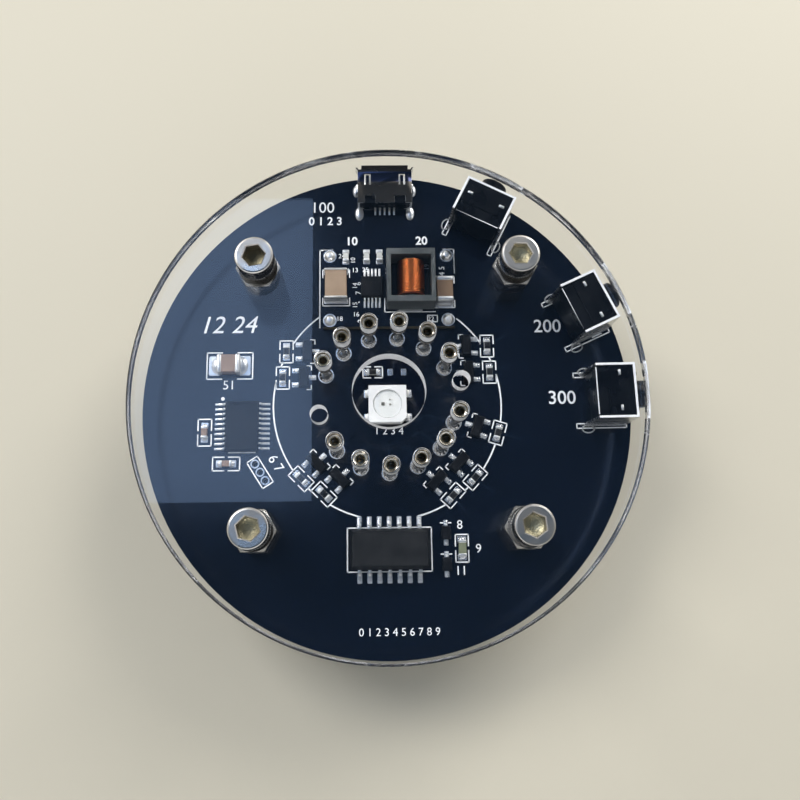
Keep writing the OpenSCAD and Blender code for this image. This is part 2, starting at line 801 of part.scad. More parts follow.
module controller_leads() {
    color("silver") translate([controller_x, controller_y, top_z])
        for (s = [0, 180], i = [0 : controller_pins - 1])
            rotate([0, 0, s])
                translate([controller_w / 2, (i - (controller_pins - 1) / 2) * controller_pitch, 0])
                    gull_lead(controller_h / 2, 1, 0.6, 0.13, 0.24);
}

module clock_chip() {
    color([0.15, 0.15, 0.16]) translate([0, clock_y, top_z]) moulded(clock_l, clock_w, clock_h, 0.1, 0.13);
}

module clock_chip_leads() {
    color("silver") translate([0, clock_y, top_z])
        for (s = [-1, 1], i = [0 : clock_pins - 1])
            rotate([0, 0, s * 90])
                translate([clock_w / 2, (i - (clock_pins - 1) / 2) * clock_pitch, 0])
                    gull_lead(clock_h / 2, 1.2, 0.6, 0.2, 0.42);
}

module supply_capacitor() {
    color([0.55, 0.45, 0.38]) translate([controller_x - 1.85, 5.4, top_z]) chip_part(3.1, 2.55, 1.9, 0.7);
}

module clock_capacitor() {
    color([0.45, 0.45, 0.3]) translate([clock_l / 2 + 4.15, clock_y + 0.05, top_z]) rotate([0, 0, 90])
        chip_part(2.1, 1.05, 0.9, 0.4);
}

module backup_diodes() {
    color([0.1, 0.1, 0.11]) for (y = diode_ys)
        translate([diode_x, clock_y + y, top_z]) moulded(diode_size[0], diode_size[1], diode_size[2]);
}

module diode_leads() {
    color("silver") for (y = diode_ys, s = [-1, 1])
        translate([diode_x, clock_y + y, top_z]) rotate([0, 0, s * 90])
            translate([diode_size[1] / 2, 0, 0]) gull_lead(diode_size[2] / 2, 0.45, 0.25, 0.1, 0.35);
}

module cathode_transistors() {
    color([0.1, 0.1, 0.11]) at_stages()
        moulded(transistor_size[0], transistor_size[1], transistor_size[2]);
}

module transistor_leads() {
    side = transistor_size[0] / 2;
    h = transistor_size[2] / 2;
    color("silver") at_stages() {
        translate([side, 0, 0]) gull_lead(h, 0.6, 0.35, 0.12, 0.42);
        for (y = [-transistor_lead_y, transistor_lead_y]) translate([-side, y, 0]) rotate([0, 0, 180])
            gull_lead(h, 0.6, 0.35, 0.12, 0.42);
    }
}

module cathode_resistors() {
    color([0.12, 0.12, 0.12]) at_stages() translate([-stage_resistor, 0, 0]) rotate([0, 0, 90])
        chip_part(resistor_size[0], resistor_size[1], resistor_size[2], resistor_end);
}

module controller_small_parts() {
    color([0.55, 0.5, 0.45]) {
        translate([controller_x - controller_w / 2 - 2.7, controller_y - 0.75, top_z]) rotate([0, 0, 90])
            chip_part(small_cap_size[0], small_cap_size[1], small_cap_size[2], small_cap_end);
        translate([controller_x - 2, controller_y - controller_l / 2 - 1.6, top_z])
            chip_part(small_cap_size[0], small_cap_size[1], small_cap_size[2], small_cap_end);
    }
}

module lamp_resistor() {
    color([0.12, 0.12, 0.12]) translate([-1.9, lamp_w / 2 + 2.05, top_z])
        chip_part(resistor_size[0], resistor_size[1], resistor_size[2], resistor_end);
}

// ---------- backup cell ----------

module coin_cell() {
    r = cell_d / 2;
    b = 0.2;
    step = 0.9;
    color("silver") translate([0, cell_y, board_z]) rotate([180, 0, 0]) rotate_extrude($fn = 96)
        polygon([[0, 0], [r - step, 0], [r - step, 0.35], [r - b, 0.35], [r, 0.35 + b], [r, cell_t - b],
            [r - b, cell_t], [0, cell_t]]);
}

// Sheet strap over the cell, soldered to the board by its two feet
module cell_clip() {
    r = cell_d / 2 + 0.3;
    t = clip_sheet;
    h = cell_t + 0.02;
    foot = 1.4;
    color("silver") translate([0, cell_y + clip_w / 2, board_z]) mirror([0, 0, 1]) rotate([90, 0, 0])
        linear_extrude(height = clip_w)
            polygon([[-r - t - foot, 0], [-r - 0.01, 0], [-r - 0.01, h], [r + 0.01, h], [r + 0.01, 0],
                [r + t + foot, 0], [r + t + foot, t], [r + t, t], [r + t, h + t], [-r - t, h + t],
                [-r - t, t], [-r - t - foot, t]]);
}

bottom_disc();
bottom_screws();
lower_standoffs();
main_board();
upper_standoffs();
top_disc();
top_screws();
socket_shells();
socket_contacts();
socket_solder();
lamp_body();
lamp_lens();
lamp_leads();
inlet_shell();
inlet_insert();
inlet_contacts();
bracket(0);  // power_bracket
switch_body(0);  // power_switch_body
button(0);  // power_button
bracket(1);  // select_bracket
switch_body(1);  // select_switch_body
button(1);  // select_button
bracket(2);  // plus_bracket
switch_body(2);  // plus_switch_body
button(2);  // plus_button
switch_terminals();
switch_domes();
converter_board();
converter_pins();
inductor_core();
inductor_winding();
output_capacitor();
input_capacitor();
converter_chip();
converter_chip_leads();
converter_small_parts();
controller_chip();
controller_leads();
clock_chip();
clock_chip_leads();
supply_capacitor();
clock_capacitor();
backup_diodes();
diode_leads();
cathode_transistors();
transistor_leads();
cathode_resistors();
controller_small_parts();
lamp_resistor();
coin_cell();
cell_clip();
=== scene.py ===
"""Looks of an open-frame clock base: finishes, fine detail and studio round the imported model."""

from __future__ import annotations

import logging
import math
from contextlib import contextmanager
from dataclasses import dataclass, field
from enum import Enum
from typing import Callable, Iterator, Sequence

import bmesh
import bpy
from mathutils import Matrix, Vector


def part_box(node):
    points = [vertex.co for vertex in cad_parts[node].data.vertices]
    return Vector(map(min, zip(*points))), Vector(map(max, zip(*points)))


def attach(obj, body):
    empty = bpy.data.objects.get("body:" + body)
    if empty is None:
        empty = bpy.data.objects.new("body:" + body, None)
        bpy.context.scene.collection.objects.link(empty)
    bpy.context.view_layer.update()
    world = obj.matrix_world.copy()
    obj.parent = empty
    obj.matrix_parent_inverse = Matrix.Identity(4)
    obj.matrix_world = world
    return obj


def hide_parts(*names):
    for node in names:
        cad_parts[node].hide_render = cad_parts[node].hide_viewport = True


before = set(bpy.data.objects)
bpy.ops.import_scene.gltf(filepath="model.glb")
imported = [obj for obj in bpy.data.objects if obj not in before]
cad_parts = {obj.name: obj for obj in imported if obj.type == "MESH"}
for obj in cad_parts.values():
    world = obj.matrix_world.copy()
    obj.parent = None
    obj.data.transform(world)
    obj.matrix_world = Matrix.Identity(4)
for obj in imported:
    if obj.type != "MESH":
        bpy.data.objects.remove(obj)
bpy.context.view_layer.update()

MM = 0.001
QUARTER = math.pi / 2
LENGTHS = ("radius", "radius1", "radius2", "depth", "size", "major_radius", "minor_radius")
LOG = logging.getLogger("clock_base")

Colour = tuple[float, float, float]
Point = tuple[float, float]
BpyObject = bpy.types.Object
Socket = bpy.types.NodeSocket
FaceTest = Callable[[bpy.types.MeshPolygon], bool]


class Body(str, Enum):
    """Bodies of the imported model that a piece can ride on."""

    BASE = "clock_base"
    POWER = "power_key"
    SELECT = "select_key"
    PLUS = "plus_key"


SWITCHES = {"power": Body.POWER, "select": Body.SELECT, "plus": Body.PLUS}


# ---------------------------------------------------------------- modelling helpers


def deselect_all() -> None:
    """Deselects every object."""
    for other in list(bpy.context.selected_objects):
        other.select_set(False)


def activate(piece: BpyObject) -> None:
    """Selects one object alone and makes it active.

    Args:
        piece: The object that the next operator acts on.
    """
    deselect_all()
    piece.select_set(True)
    bpy.context.view_layer.objects.active = piece


@contextmanager
def editing(piece: BpyObject, select: str = "SELECT") -> Iterator[None]:
    """Opens a mesh in edit mode.

    Args:
        piece: The mesh object.
        select: SELECT or DESELECT, for what is selected at the start.
    """
    activate(piece)
    bpy.ops.object.mode_set(mode="EDIT")
    bpy.ops.mesh.select_all(action=select)
    yield
    bpy.ops.object.mode_set(mode="OBJECT")


@contextmanager
def editing_faces(piece: BpyObject, test: FaceTest) -> Iterator[None]:
    """Opens a mesh in edit mode with some of its faces selected.

    Args:
        piece: The mesh object.
        test: Says by place or normal whether a face is selected.
    """
    with editing(piece, "DESELECT"):
        bpy.ops.mesh.select_mode(type="FACE")
    for face in piece.data.polygons:
        face.select = test(face)
    bpy.ops.object.mode_set(mode="EDIT")
    yield
    bpy.ops.mesh.select_mode(type="VERT")
    bpy.ops.object.mode_set(mode="OBJECT")


def settle(piece: BpyObject) -> BpyObject:
    """Puts an object's place, turn and scale into its mesh.

    Args:
        piece: The mesh object.

    Returns:
        The same object, at the origin.
    """
    piece.data.transform(piece.matrix_world)
    piece.matrix_world = Matrix.Identity(4)
    return piece


def newest(name: str) -> BpyObject:
    """Names the object that an operator has just added, and returns it."""
    bpy.context.view_layer.objects.active.name = name
    return bpy.context.view_layer.objects.active


def primitive(kind: str, name: str, place: Sequence[float] = (0, 0, 0), **settings: object) -> BpyObject:
    """Adds one of Blender's primitives, with all else deselected.

    Args:
        kind: Which primitive, such as cylinder.
        name: Name of the object.
        place: Its middle, in millimetres.
        settings: Its other settings, with lengths in millimetres.

    Returns:
        The object, with its place in its mesh.
    """
    deselect_all()
    scaled = {key: value * MM if key in LENGTHS else value for key, value in settings.items()}
    getattr(bpy.ops.mesh, f"primitive_{kind}_add")(location=Vector(place) * MM, **scaled)
    return settle(newest(name))


def applied(piece: BpyObject, kind: str, **settings: object) -> BpyObject:
    """Adds a modifier and applies it.

    Args:
        piece: The mesh object.
        kind: The modifier's type.
        settings: Its settings.

    Returns:
        The same object.
    """
    activate(piece)
    modifier = piece.modifiers.new(kind, kind)
    for key, value in settings.items():
        setattr(modifier, key, value)
    bpy.ops.object.modifier_apply(modifier=modifier.name)
    return piece


def merged(piece: BpyObject, distance: float) -> BpyObject:
    """Merges doubles and turns the faces outwards.

    Args:
        piece: The mesh object.
        distance: Merge distance in millimetres.

    Returns:
        The same object.
    """
    with editing(piece):
        bpy.ops.mesh.remove_doubles(threshold=distance * MM)
        bpy.ops.mesh.normals_make_consistent(inside=False)
    return piece


def bevelled(piece: BpyObject, width: float, segments: int = 2, angle: float = 35) -> BpyObject:
    """Rounds a mesh's edges that are sharper than an angle in degrees, by a width in millimetres."""
    return applied(piece, "BEVEL", width=width * MM, segments=segments, limit_method="ANGLE",
                   angle_limit=math.radians(angle))


def smoothed(piece: BpyObject, angle: float = 32) -> BpyObject:
    """Shades a mesh smooth across edges flatter than the angle, and keeps its flats flat.

    Args:
        piece: The mesh object.
        angle: The angle, in degrees.

    Returns:
        The same object.
    """
    activate(piece)
    bpy.ops.object.shade_smooth_by_angle(angle=math.radians(angle))
    return applied(piece, "WEIGHTED_NORMAL", keep_sharp=True)


def cut(piece: BpyObject, cutter: BpyObject) -> BpyObject:
    """Takes one closed mesh out of another.

    Args:
        piece: The mesh that is cut.
        cutter: The mesh that is taken out of it, and then deleted.

    Returns:
        The cut mesh.
    """
    applied(piece, "BOOLEAN", object=cutter, operation="DIFFERENCE", solver="EXACT")
    discarded(cutter)
    return piece


def divided(piece: BpyObject, normal: Vector, *places: float) -> BpyObject:
    """Cuts new edge lines round a piece.

    Args:
        piece: The piece.
        normal: Direction across the cuts, of length one.
        places: Distances of the cuts along it, in metres.

    Returns:
        The same piece.
    """
    for place in places:
        with editing(piece):
            bpy.ops.mesh.bisect(plane_co=normal * place, plane_no=normal)
    return piece


def copied(template: BpyObject, place: Matrix) -> BpyObject:
    """Copies a finished model, with a mesh of its own, to a place.

    Args:
        template: The model, at the origin.
        place: Where the copy goes.

    Returns:
        The copy, with its place in its mesh.
    """
    twin = bpy.data.objects.new(template.name, template.data.copy())
    bpy.context.scene.collection.objects.link(twin)
    twin.data.transform(place)
    if place.is_negative:
        twin.data.flip_normals()
    return twin


def joined(name: str, pieces: Sequence[BpyObject]) -> BpyObject:
    """Joins meshes into one object.

    Args:
        name: Name of the joined object.
        pieces: Mesh objects at the origin.

    Returns:
        The joined object.
    """
    activate(pieces[0])
    for piece in pieces:
        piece.select_set(True)
    if len(pieces) > 1:
        bpy.ops.object.join()
    return newest(name)


def discarded(*pieces: BpyObject) -> None:
    """Deletes templates and cutters that have been used."""
    for piece in pieces:
        bpy.data.objects.remove(piece)


def at(x: float, y: float, z: float, yaw: float = 0.0, size: Sequence[float] = (1, 1, 1)) -> Matrix:
    """The matrix of a place in millimetres, turned about Z by yaw and scaled by size."""
    turn = Matrix.Rotation(yaw, 4, "Z")
    return Matrix.Translation(Vector((x, y, z)) * MM) @ turn @ Matrix.Diagonal((*size, 1))


def raised(piece: BpyObject, height: float) -> BpyObject:
    """Moves a piece's mesh up by a height in metres, and returns the piece."""
    piece.data.transform(Matrix.Translation((0, 0, height)))
    return piece


def turned(name: str, profile: Sequence[Point], steps: int = 48) -> BpyObject:
    """Spins a profile of (radius, height) round the Z axis.

    Args:
        name: Name of the piece.
        profile: Points of the outline in millimetres, from pole to pole.
        steps: Steps of the spin.

    Returns:
        The closed, smooth-shaded piece.
    """
    mesh = bpy.data.meshes.new(name)
    edges = [(i, i + 1) for i in range(len(profile) - 1)]
    mesh.from_pydata([(r * MM, 0, z * MM) for r, z in profile], edges, [])
    piece = bpy.data.objects.new(name, mesh)
    bpy.context.scene.collection.objects.link(piece)
    with editing(piece):
        bpy.ops.mesh.spin(steps=steps, angle=math.tau, center=(0, 0, 0), axis=(0, 0, 1))
    return smoothed(merged(piece, 0.001))


def block(name: str, size: Sequence[float], centre: Sequence[float], round_by: float = 0.0) -> BpyObject:
    """Adds a box of a size at a centre, with edges rounded by a radius, all in millimetres."""
    piece = primitive("cube", name, centre, size=1, scale=size)
    return smoothed(bevelled(piece, round_by, 3)) if round_by else piece


def coil(name: str, radius: float, wire: float, pitch: float, turns: float, sides: int = 8) -> BpyObject:
    """Winds one unbroken wire or thread ridge round the Z axis, upwards from z = 0.

    Args:
        name: Name of the piece.
        radius: Radius of the wire's middle line.
        wire: Radius of the wire.
        pitch: Rise of each turn.
        turns: Number of turns.
        sides: Sides of the wire.

    Returns:
        The closed coil.
    """
    piece = primitive("circle", name, (radius, 0, 0), vertices=sides, radius=wire, rotation=(QUARTER, 0, 0))
    steps = int(36 * turns)
    applied(piece, "SCREW", angle=math.tau * turns, screw_offset=pitch * turns * MM, steps=steps,
            render_steps=steps, use_merge_vertices=False)
    with editing(piece, "DESELECT"):
        bpy.ops.mesh.select_non_manifold()
        bpy.ops.mesh.fill_holes(sides=sides)
    return smoothed(merged(piece, 0.0005), 50)


def turned_point(along: float, across: float, yaw: float) -> Point:
    """A point given along and across an axis turned by yaw."""
    cos, sin = math.cos(yaw), math.sin(yaw)
    return (along * cos - across * sin, along * sin + across * cos)


@dataclass(frozen=True)
class Island:
    """One separate solid of a CAD node, in millimetres."""

    points: tuple[Vector, ...]

    @property
    def low(self) -> Vector:
        """Its lowest corner."""
        return Vector([min(p[i] for p in self.points) for i in range(3)])

    @property
    def high(self) -> Vector:
        """Its highest corner."""
        return Vector([max(p[i] for p in self.points) for i in range(3)])

    @property
    def centre(self) -> Vector:
        """The middle of its box."""
        return (self.low + self.high) / 2

    @property
    def spot(self) -> Point:
        """Where its middle is, seen from above."""
        return (self.centre.x, self.centre.y)

    def extent(self, yaw: float) -> tuple[float, float, float, float]:
        """Its middle and size along an axis turned by yaw and across it.

        Args:
            yaw: Turn of the axis about Z, in radians.

        Returns:
            Middle along, middle across, length along and length across.
        """
        along = Vector((math.cos(yaw), math.sin(yaw), 0))
        across = Vector((-math.sin(yaw), math.cos(yaw), 0))
        spans = [[p.dot(axis) for p in self.points] for axis in (along, across)]
        return (*((min(s) + max(s)) / 2 for s in spans), *(max(s) - min(s) for s in spans))

    def long_yaw(self) -> float:
        """Turn about Z, in radians, at which the solid is longest."""
        return min(map(math.radians, range(180)), key=lambda yaw: self.extent(yaw)[3])


def islands(node: str) -> list[Island]:
    """Splits a CAD node into its separate solids.

    Args:
        node: Name of the node.

    Returns:
        One island for each solid, in the mesh's order.
    """
    work = bmesh.new()
    work.from_mesh(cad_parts[node].data)
    bmesh.ops.remove_doubles(work, verts=work.verts, dist=0.002 * MM)
    seen: set[bmesh.types.BMVert] = set()
    found: list[Island] = []
    for start in work.verts:
        if start in seen:
            continue
        seen.add(start)
        queue, points = [start], []
        while queue:
            vert = queue.pop()
            points.append(vert.co / MM)
            fresh = {edge.other_vert(vert) for edge in vert.link_edges} - seen
            seen |= fresh
            queue.extend(fresh)
        found.append(Island(tuple(points)))
    work.free()
    return found


# ---------------------------------------------------------------- shader nodes and groups


class Effect(Enum):
    """Surface effects that more than one finish uses."""

    GRAIN = "fine_grain"
    BRUSH = "drawn_sheet"
    WEAVE = "glass_weave"


FINISH_MARK = "_finish"
GRAIN_DETAIL = 4.0
PATCH_SHARE = 0.06
SMOOTHEST = 0.02
RIM_STREAKS = 2600.0
BRUSH_STRETCH = 14.0
WEAVE_SCALE = math.tau / (0.55 * MM)


@dataclass
class Wiring:
    """Short calls that add and link the nodes of a tree."""

    tree: bpy.types.NodeTree

    def feed(self, slot: Socket, value: object) -> None:
        """Links a socket to an input, or sets a plain value on it.

        Args:
            slot: The input.
            value: A socket, or the value.
        """
        if isinstance(value, Socket):
            self.tree.links.new(value, slot)
        else:
            slot.default_value = value

    def node(self, kind: str, inputs: dict, **settings: object) -> bpy.types.Node:
        """Adds a shader node.

        Args:
            kind: Its type, without the ShaderNode in front.
            inputs: Sockets or values for its inputs, by name or number.
            settings: Its own settings.

        Returns:
            The node.
        """
        node = self.tree.nodes.new("ShaderNode" + kind)
        for key, value in settings.items():
            setattr(node, key, value)
        for label, value in inputs.items():
            self.feed(node.inputs[label], value)
        return node

    def maths(self, operation: str, *values: object) -> Socket:
        """A Math node's output, for sockets or numbers."""
        return self.node("Math", dict(enumerate(values)), operation=operation).outputs[0]

    def noise(self, vector: Socket, scale: object, detail: float) -> Socket:
        """A noise texture's value."""
        return self.node("TexNoise", {"Vector": vector, "Scale": scale, "Detail": detail}).outputs["Fac"]

    def effect(self, effect: Effect, scale: float) -> bpy.types.Node:
        """A group node of a shared effect, whose group is made the first time."""
        group = bpy.data.node_groups.get(effect.value) or EffectGroup(effect).tree
        return self.node("Group", {"Scale": scale}, node_tree=group)

    def relief(self, effect: bpy.types.Node, depth: float) -> Socket:
        """The normal of an effect's relief, with its depth in millimetres."""
        bump = {"Distance": depth * MM, "Strength": 1.0, "Height": effect.outputs["Height"]}
        return self.node("Bump", bump).outputs["Normal"]


class EffectGroup(Wiring):
    """The shader group of one effect, with Scale in, and Height and Patch out."""

    def __init__(self, effect: Effect) -> None:
        """Makes the group, and wires the effect between its sockets.

        Args:
            effect: Which effect.
        """
        super().__init__(bpy.data.node_groups.new(effect.value, "ShaderNodeTree"))
        for label, way in (("Scale", "INPUT"), ("Height", "OUTPUT"), ("Patch", "OUTPUT")):
            self.tree.interface.new_socket(label, in_out=way, socket_type="NodeSocketFloat")
        self.scale = self.tree.nodes.new("NodeGroupInput").outputs["Scale"]
        self.place = self.node("TexCoord", {}).outputs["Object"]
        self.out = self.tree.nodes.new("NodeGroupOutput")
        getattr(self, effect.name.lower())()

    def put(self, height: Socket, patch: Socket) -> None:
        """Links the two outputs."""
        self.feed(self.out.inputs["Height"], height)
        self.feed(self.out.inputs["Patch"], patch)

    def grain(self) -> None:
        """Wires fine grain and slow patches, as on moulded, sintered and plated surfaces."""
        patch = self.noise(self.place, self.maths("MULTIPLY", self.scale, PATCH_SHARE), 2.0)
        spread = self.node("MapRange", {"Value": patch, "From Min": 0.35, "From Max": 0.65})
        self.put(self.noise(self.place, self.scale, GRAIN_DETAIL), spread.outputs[0])

    def brush(self) -> None:
        """Wires fine drawn lines across sheet metal, with slow patches."""
        x, y, z = self.node("SeparateXYZ", {0: self.place}).outputs
        drawn = self.node("CombineXYZ", {0: x, 1: y, 2: self.maths("MULTIPLY", z, BRUSH_STRETCH)}).outputs[0]
        slow = self.maths("MULTIPLY", self.scale, PATCH_SHARE)
        self.put(self.noise(drawn, self.scale, 2.0), self.noise(drawn, slow, 2.0))

    def weave(self) -> None:
        """Wires the faint cross of glass fibres under a board's lacquer."""
        x, y, _ = self.node("SeparateXYZ", {0: self.place}).outputs
        waves = [self.maths("SINE", self.maths("MULTIPLY", axis, self.scale)) for axis in (x, y)]
        self.put(self.maths("MULTIPLY", *waves), self.noise(self.place, 160.0, 3.0))


# ---------------------------------------------------------------- finishes


@dataclass(frozen=True)
class Surface:
    """What every finish shares: a name, and a material that is built once."""

    name: str

    def material(self) -> bpy.types.Material:
        """Builds the material the first time.

        Returns:
            The material, which is the same at every call.
        """
        made = bpy.data.materials.get(self.name + FINISH_MARK)
        if not made:
            made = bpy.data.materials.new(self.name + FINISH_MARK)
            made.use_nodes = True
            self.wire(Wiring(made.node_tree), made.node_tree.nodes["Principled BSDF"])
        return made

    def wire(self, wiring: Wiring, shader: bpy.types.Node) -> None:
        """Wires the material's nodes; each kind of finish has its own."""
        raise NotImplementedError


@dataclass(frozen=True)
class Finish(Surface):
    """An opaque surface: its colours, gloss and relief."""

    colour: Colour
    shade: Colour
    roughness: float
    metallic: float = 0.0
    effect: Effect = Effect.GRAIN
    scale: float = 4000.0
    relief: float = 0.004
    rough_spread: float = 0.08
    coat: float = 0.0
    specular: float = 0.5

    def wire(self, wiring: Wiring, shader: bpy.types.Node) -> None:
        """Wires colours that blend in patches, gloss that varies with them, and relief.

        Args:
            wiring: The material's nodes.
            shader: Its Principled BSDF.
        """
        effect = wiring.effect(self.effect, self.scale)
        patch = effect.outputs["Patch"]
        blend = wiring.node("Mix", {"A": (*self.colour, 1), "B": (*self.shade, 1), "Factor": patch},
                            data_type="RGBA")
        least = max(SMOOTHEST, self.roughness - self.rough_spread)
        rough = wiring.node("MapRange", {"Value": patch, "To Min": least,
                                         "To Max": self.roughness + self.rough_spread})
        for label, value in (
            ("Metallic", self.metallic), ("Coat Weight", self.coat), ("Coat Roughness", 0.08),
            ("Specular IOR Level", self.specular), ("Base Color", blend.outputs["Result"]),
            ("Roughness", rough.outputs[0]), ("Normal", wiring.relief(effect, self.relief)),
        ):
            wiring.feed(shader.inputs[label], value)


@dataclass(frozen=True)
class ClearFinish(Surface):
    """A clear solid that light from the lamps passes."""

    tint: Colour
    roughness: float
    ior: float
    streaks: float = 0.0
    clear: float = 1.0
    lets_light: float = 1.04

    def wire(self, wiring: Wiring, shader: bpy.types.Node) -> None:
        """Wires a clear shader, which shadow rays pass.

        Args:
            wiring: The material's nodes.
            shader: Its Principled BSDF.
        """
        for label, value in (("Base Color", (*self.tint, 1)), ("Roughness", self.roughness),
                             ("IOR", self.ior), ("Transmission Weight", self.clear)):
            wiring.feed(shader.inputs[label], value)
        if self.streaks:
            drawn = wiring.effect(Effect.BRUSH, RIM_STREAKS)
            wiring.feed(shader.inputs["Normal"], wiring.relief(drawn, self.streaks))
        passing = wiring.node("BsdfTransparent", {"Color": (*[self.lets_light] * 3, 1)})
        shadow = wiring.node("LightPath", {}).outputs["Is Shadow Ray"]
        choose = wiring.node("MixShader", {"Fac": shadow, 1: shader.outputs[0], 2: passing.outputs[0]})
        wiring.feed(wiring.tree.nodes["Material Output"].inputs["Surface"], choose.outputs[0])


def sheet(name: str, colour: Colour, shade: Colour, roughness: float, relief: float = 0.004,
          spread: float = 0.08) -> Finish:
    """The finish of a drawn metal sheet."""
    return Finish(name, colour, shade, roughness, 1.0, Effect.BRUSH, 3500, relief, spread)


def lacquer(name: str, colour: Colour, shade: Colour, roughness: float, relief: float) -> Finish:
    """The finish of a lacquered board."""
    return Finish(name, colour, shade, roughness, 0.0, Effect.WEAVE, WEAVE_SCALE, relief, 0.03)


def ceramic(name: str, colour: Colour, shade: Colour) -> Finish:
    """The finish of a chip capacitor's body."""
    return Finish(name, colour, shade, 0.42, scale=7000, specular=0.3)


ACRYLIC = ClearFinish("clear_acrylic", (0.998, 1.0, 1.0), 0.0, 1.49)
# Grey tint on the discs' outer rim: painted dark reflection, not a colour of the acrylic.
ACRYLIC_RIM_DARK_REFLECTION = ClearFinish("acrylic_rim_painted_reflection", (0.68, 0.69, 0.68), 0.01, 1.49, streaks=0.006)
ACRYLIC_WALL = ClearFinish("acrylic_sawn_wall", (0.97, 0.98, 1.0), 0.6, 1.49, streaks=0.05, clear=0.5)
LAMP_GEL = ClearFinish("lamp_resin", (0.99, 0.99, 0.98), 0.03, 1.5)
LACQUER = lacquer("board_lacquer", (0.0014, 0.0034, 0.0095), (0.0022, 0.0046, 0.012), 0.13, 0.0008)
TRACK_LACQUER = lacquer("lacquer_over_tracks", (0.0045, 0.0095, 0.020), (0.0055, 0.0115, 0.024), 0.16, 0.001)
LAMINATE = Finish("laminate_edge", (0.10, 0.085, 0.045), (0.05, 0.042, 0.025), 0.6,
                  effect=Effect.BRUSH, scale=1800, relief=0.02, specular=0.3)
INK = Finish("white_ink", (0.93, 0.95, 0.96), (0.84, 0.86, 0.88), 0.5, scale=6000)
PLATED_STEEL = Finish("plated_steel", (0.77, 0.75, 0.71), (0.46, 0.44, 0.41), 0.33, 1.0, scale=5000,
                      relief=0.012)
# Darker knurled sides of the screw heads: painted shade, not oil.
KNURL_PAINTED_SHADE = Finish("knurl_painted_shade", (0.26, 0.255, 0.25), (0.12, 0.118, 0.115), 0.26, 1.0, scale=5000,
                     relief=0.012)
KEY_FLOOR = Finish("oiled_key_floor", (0.90, 0.80, 0.50), (0.13, 0.11, 0.06), 0.34, 0.45, scale=3600,
                   relief=0.07, rough_spread=0.12)
STANDOFF_METAL = Finish("nickel_on_brass", (0.46, 0.45, 0.43), (0.34, 0.33, 0.31), 0.24, 1.0,
                        Effect.BRUSH, 2600, 0.006)
TIN = Finish("bright_tin", (0.90, 0.90, 0.89), (0.74, 0.74, 0.73), 0.36, 1.0, scale=3000, relief=0.006)
SOCKET_METAL = Finish("socket_plating", (0.84, 0.82, 0.77), (0.46, 0.42, 0.36), 0.14, 1.0, scale=2600)
GOLD = Finish("gold_plate", (0.72, 0.52, 0.27), (0.42, 0.28, 0.13), 0.26, 1.0, scale=3600)
SOLDER = Finish("solder", (0.90, 0.91, 0.92), (0.62, 0.63, 0.65), 0.3, 1.0, scale=1500, relief=0.03)
DULL_SOLDER = Finish("dull_solder", (0.50, 0.50, 0.50), (0.28, 0.28, 0.29), 0.22, 1.0, scale=1500,
                     relief=0.03)
# Dark lip, blue front band and grey-brown rear of the inlet's tin top: painted reflections, not colours of
# the tin.
LIP_REFLECTION_SHEET = sheet("inlet_lip_painted_reflection", (0.055, 0.045, 0.038), (0.03, 0.025, 0.02), 0.3)
BAND_REFLECTION_SHEET = sheet("inlet_front_band_painted_reflection", (0.07, 0.08, 0.14), (0.035, 0.04, 0.08), 0.18, 0.003, 0.04)
REAR_REFLECTION_SHEET = sheet("inlet_rear_painted_reflection", (0.085, 0.078, 0.07), (0.045, 0.042, 0.038), 0.28, 0.008)
TIN_SHEET = sheet("drawn_tin_sheet", (0.78, 0.78, 0.77), (0.60, 0.60, 0.60), 0.27)
BLACK_EPOXY = Finish("black_epoxy", (0.0035, 0.0042, 0.006), (0.0065, 0.0075, 0.010), 0.45, scale=9000,
                     relief=0.010, specular=0.12)
GREY_EPOXY = Finish("grey_epoxy", (0.007, 0.0076, 0.0087), (0.012, 0.013, 0.0145), 0.5, scale=8000,
                    relief=0.012, specular=0.18)
BLACK_NYLON = Finish("black_nylon", (0.0012, 0.0018, 0.0035), (0.0028, 0.0038, 0.006), 0.3, scale=5000,
                     relief=0.006, specular=0.1)
# Light edge lines on the inlet and the switches: painted highlights, not wear.
EDGE_HIGHLIGHT = Finish("painted_edge_highlight", (0.93, 0.94, 0.96), (0.72, 0.74, 0.77), 0.4, 0.35)
WHITE_MOULDING = Finish("white_moulding", (0.97, 0.98, 0.98), (0.93, 0.94, 0.94), 0.35, scale=5000)
LAMP_WELL = Finish("lamp_well_floor", (0.93, 0.94, 0.93), (0.84, 0.86, 0.85), 0.5, scale=6000)
LAMP_DIE = Finish("lamp_dies", (0.20, 0.20, 0.19), (0.30, 0.29, 0.24), 0.3, 0.4, scale=9000)
FERRITE = Finish("ferrite", (0.030, 0.036, 0.038), (0.060, 0.068, 0.070), 0.36, scale=6000, relief=0.02)
COPPER = Finish("enamelled_copper", (0.66, 0.21, 0.06), (0.52, 0.14, 0.035), 0.24, 1.0, scale=2500,
                relief=0.001, coat=0.3)
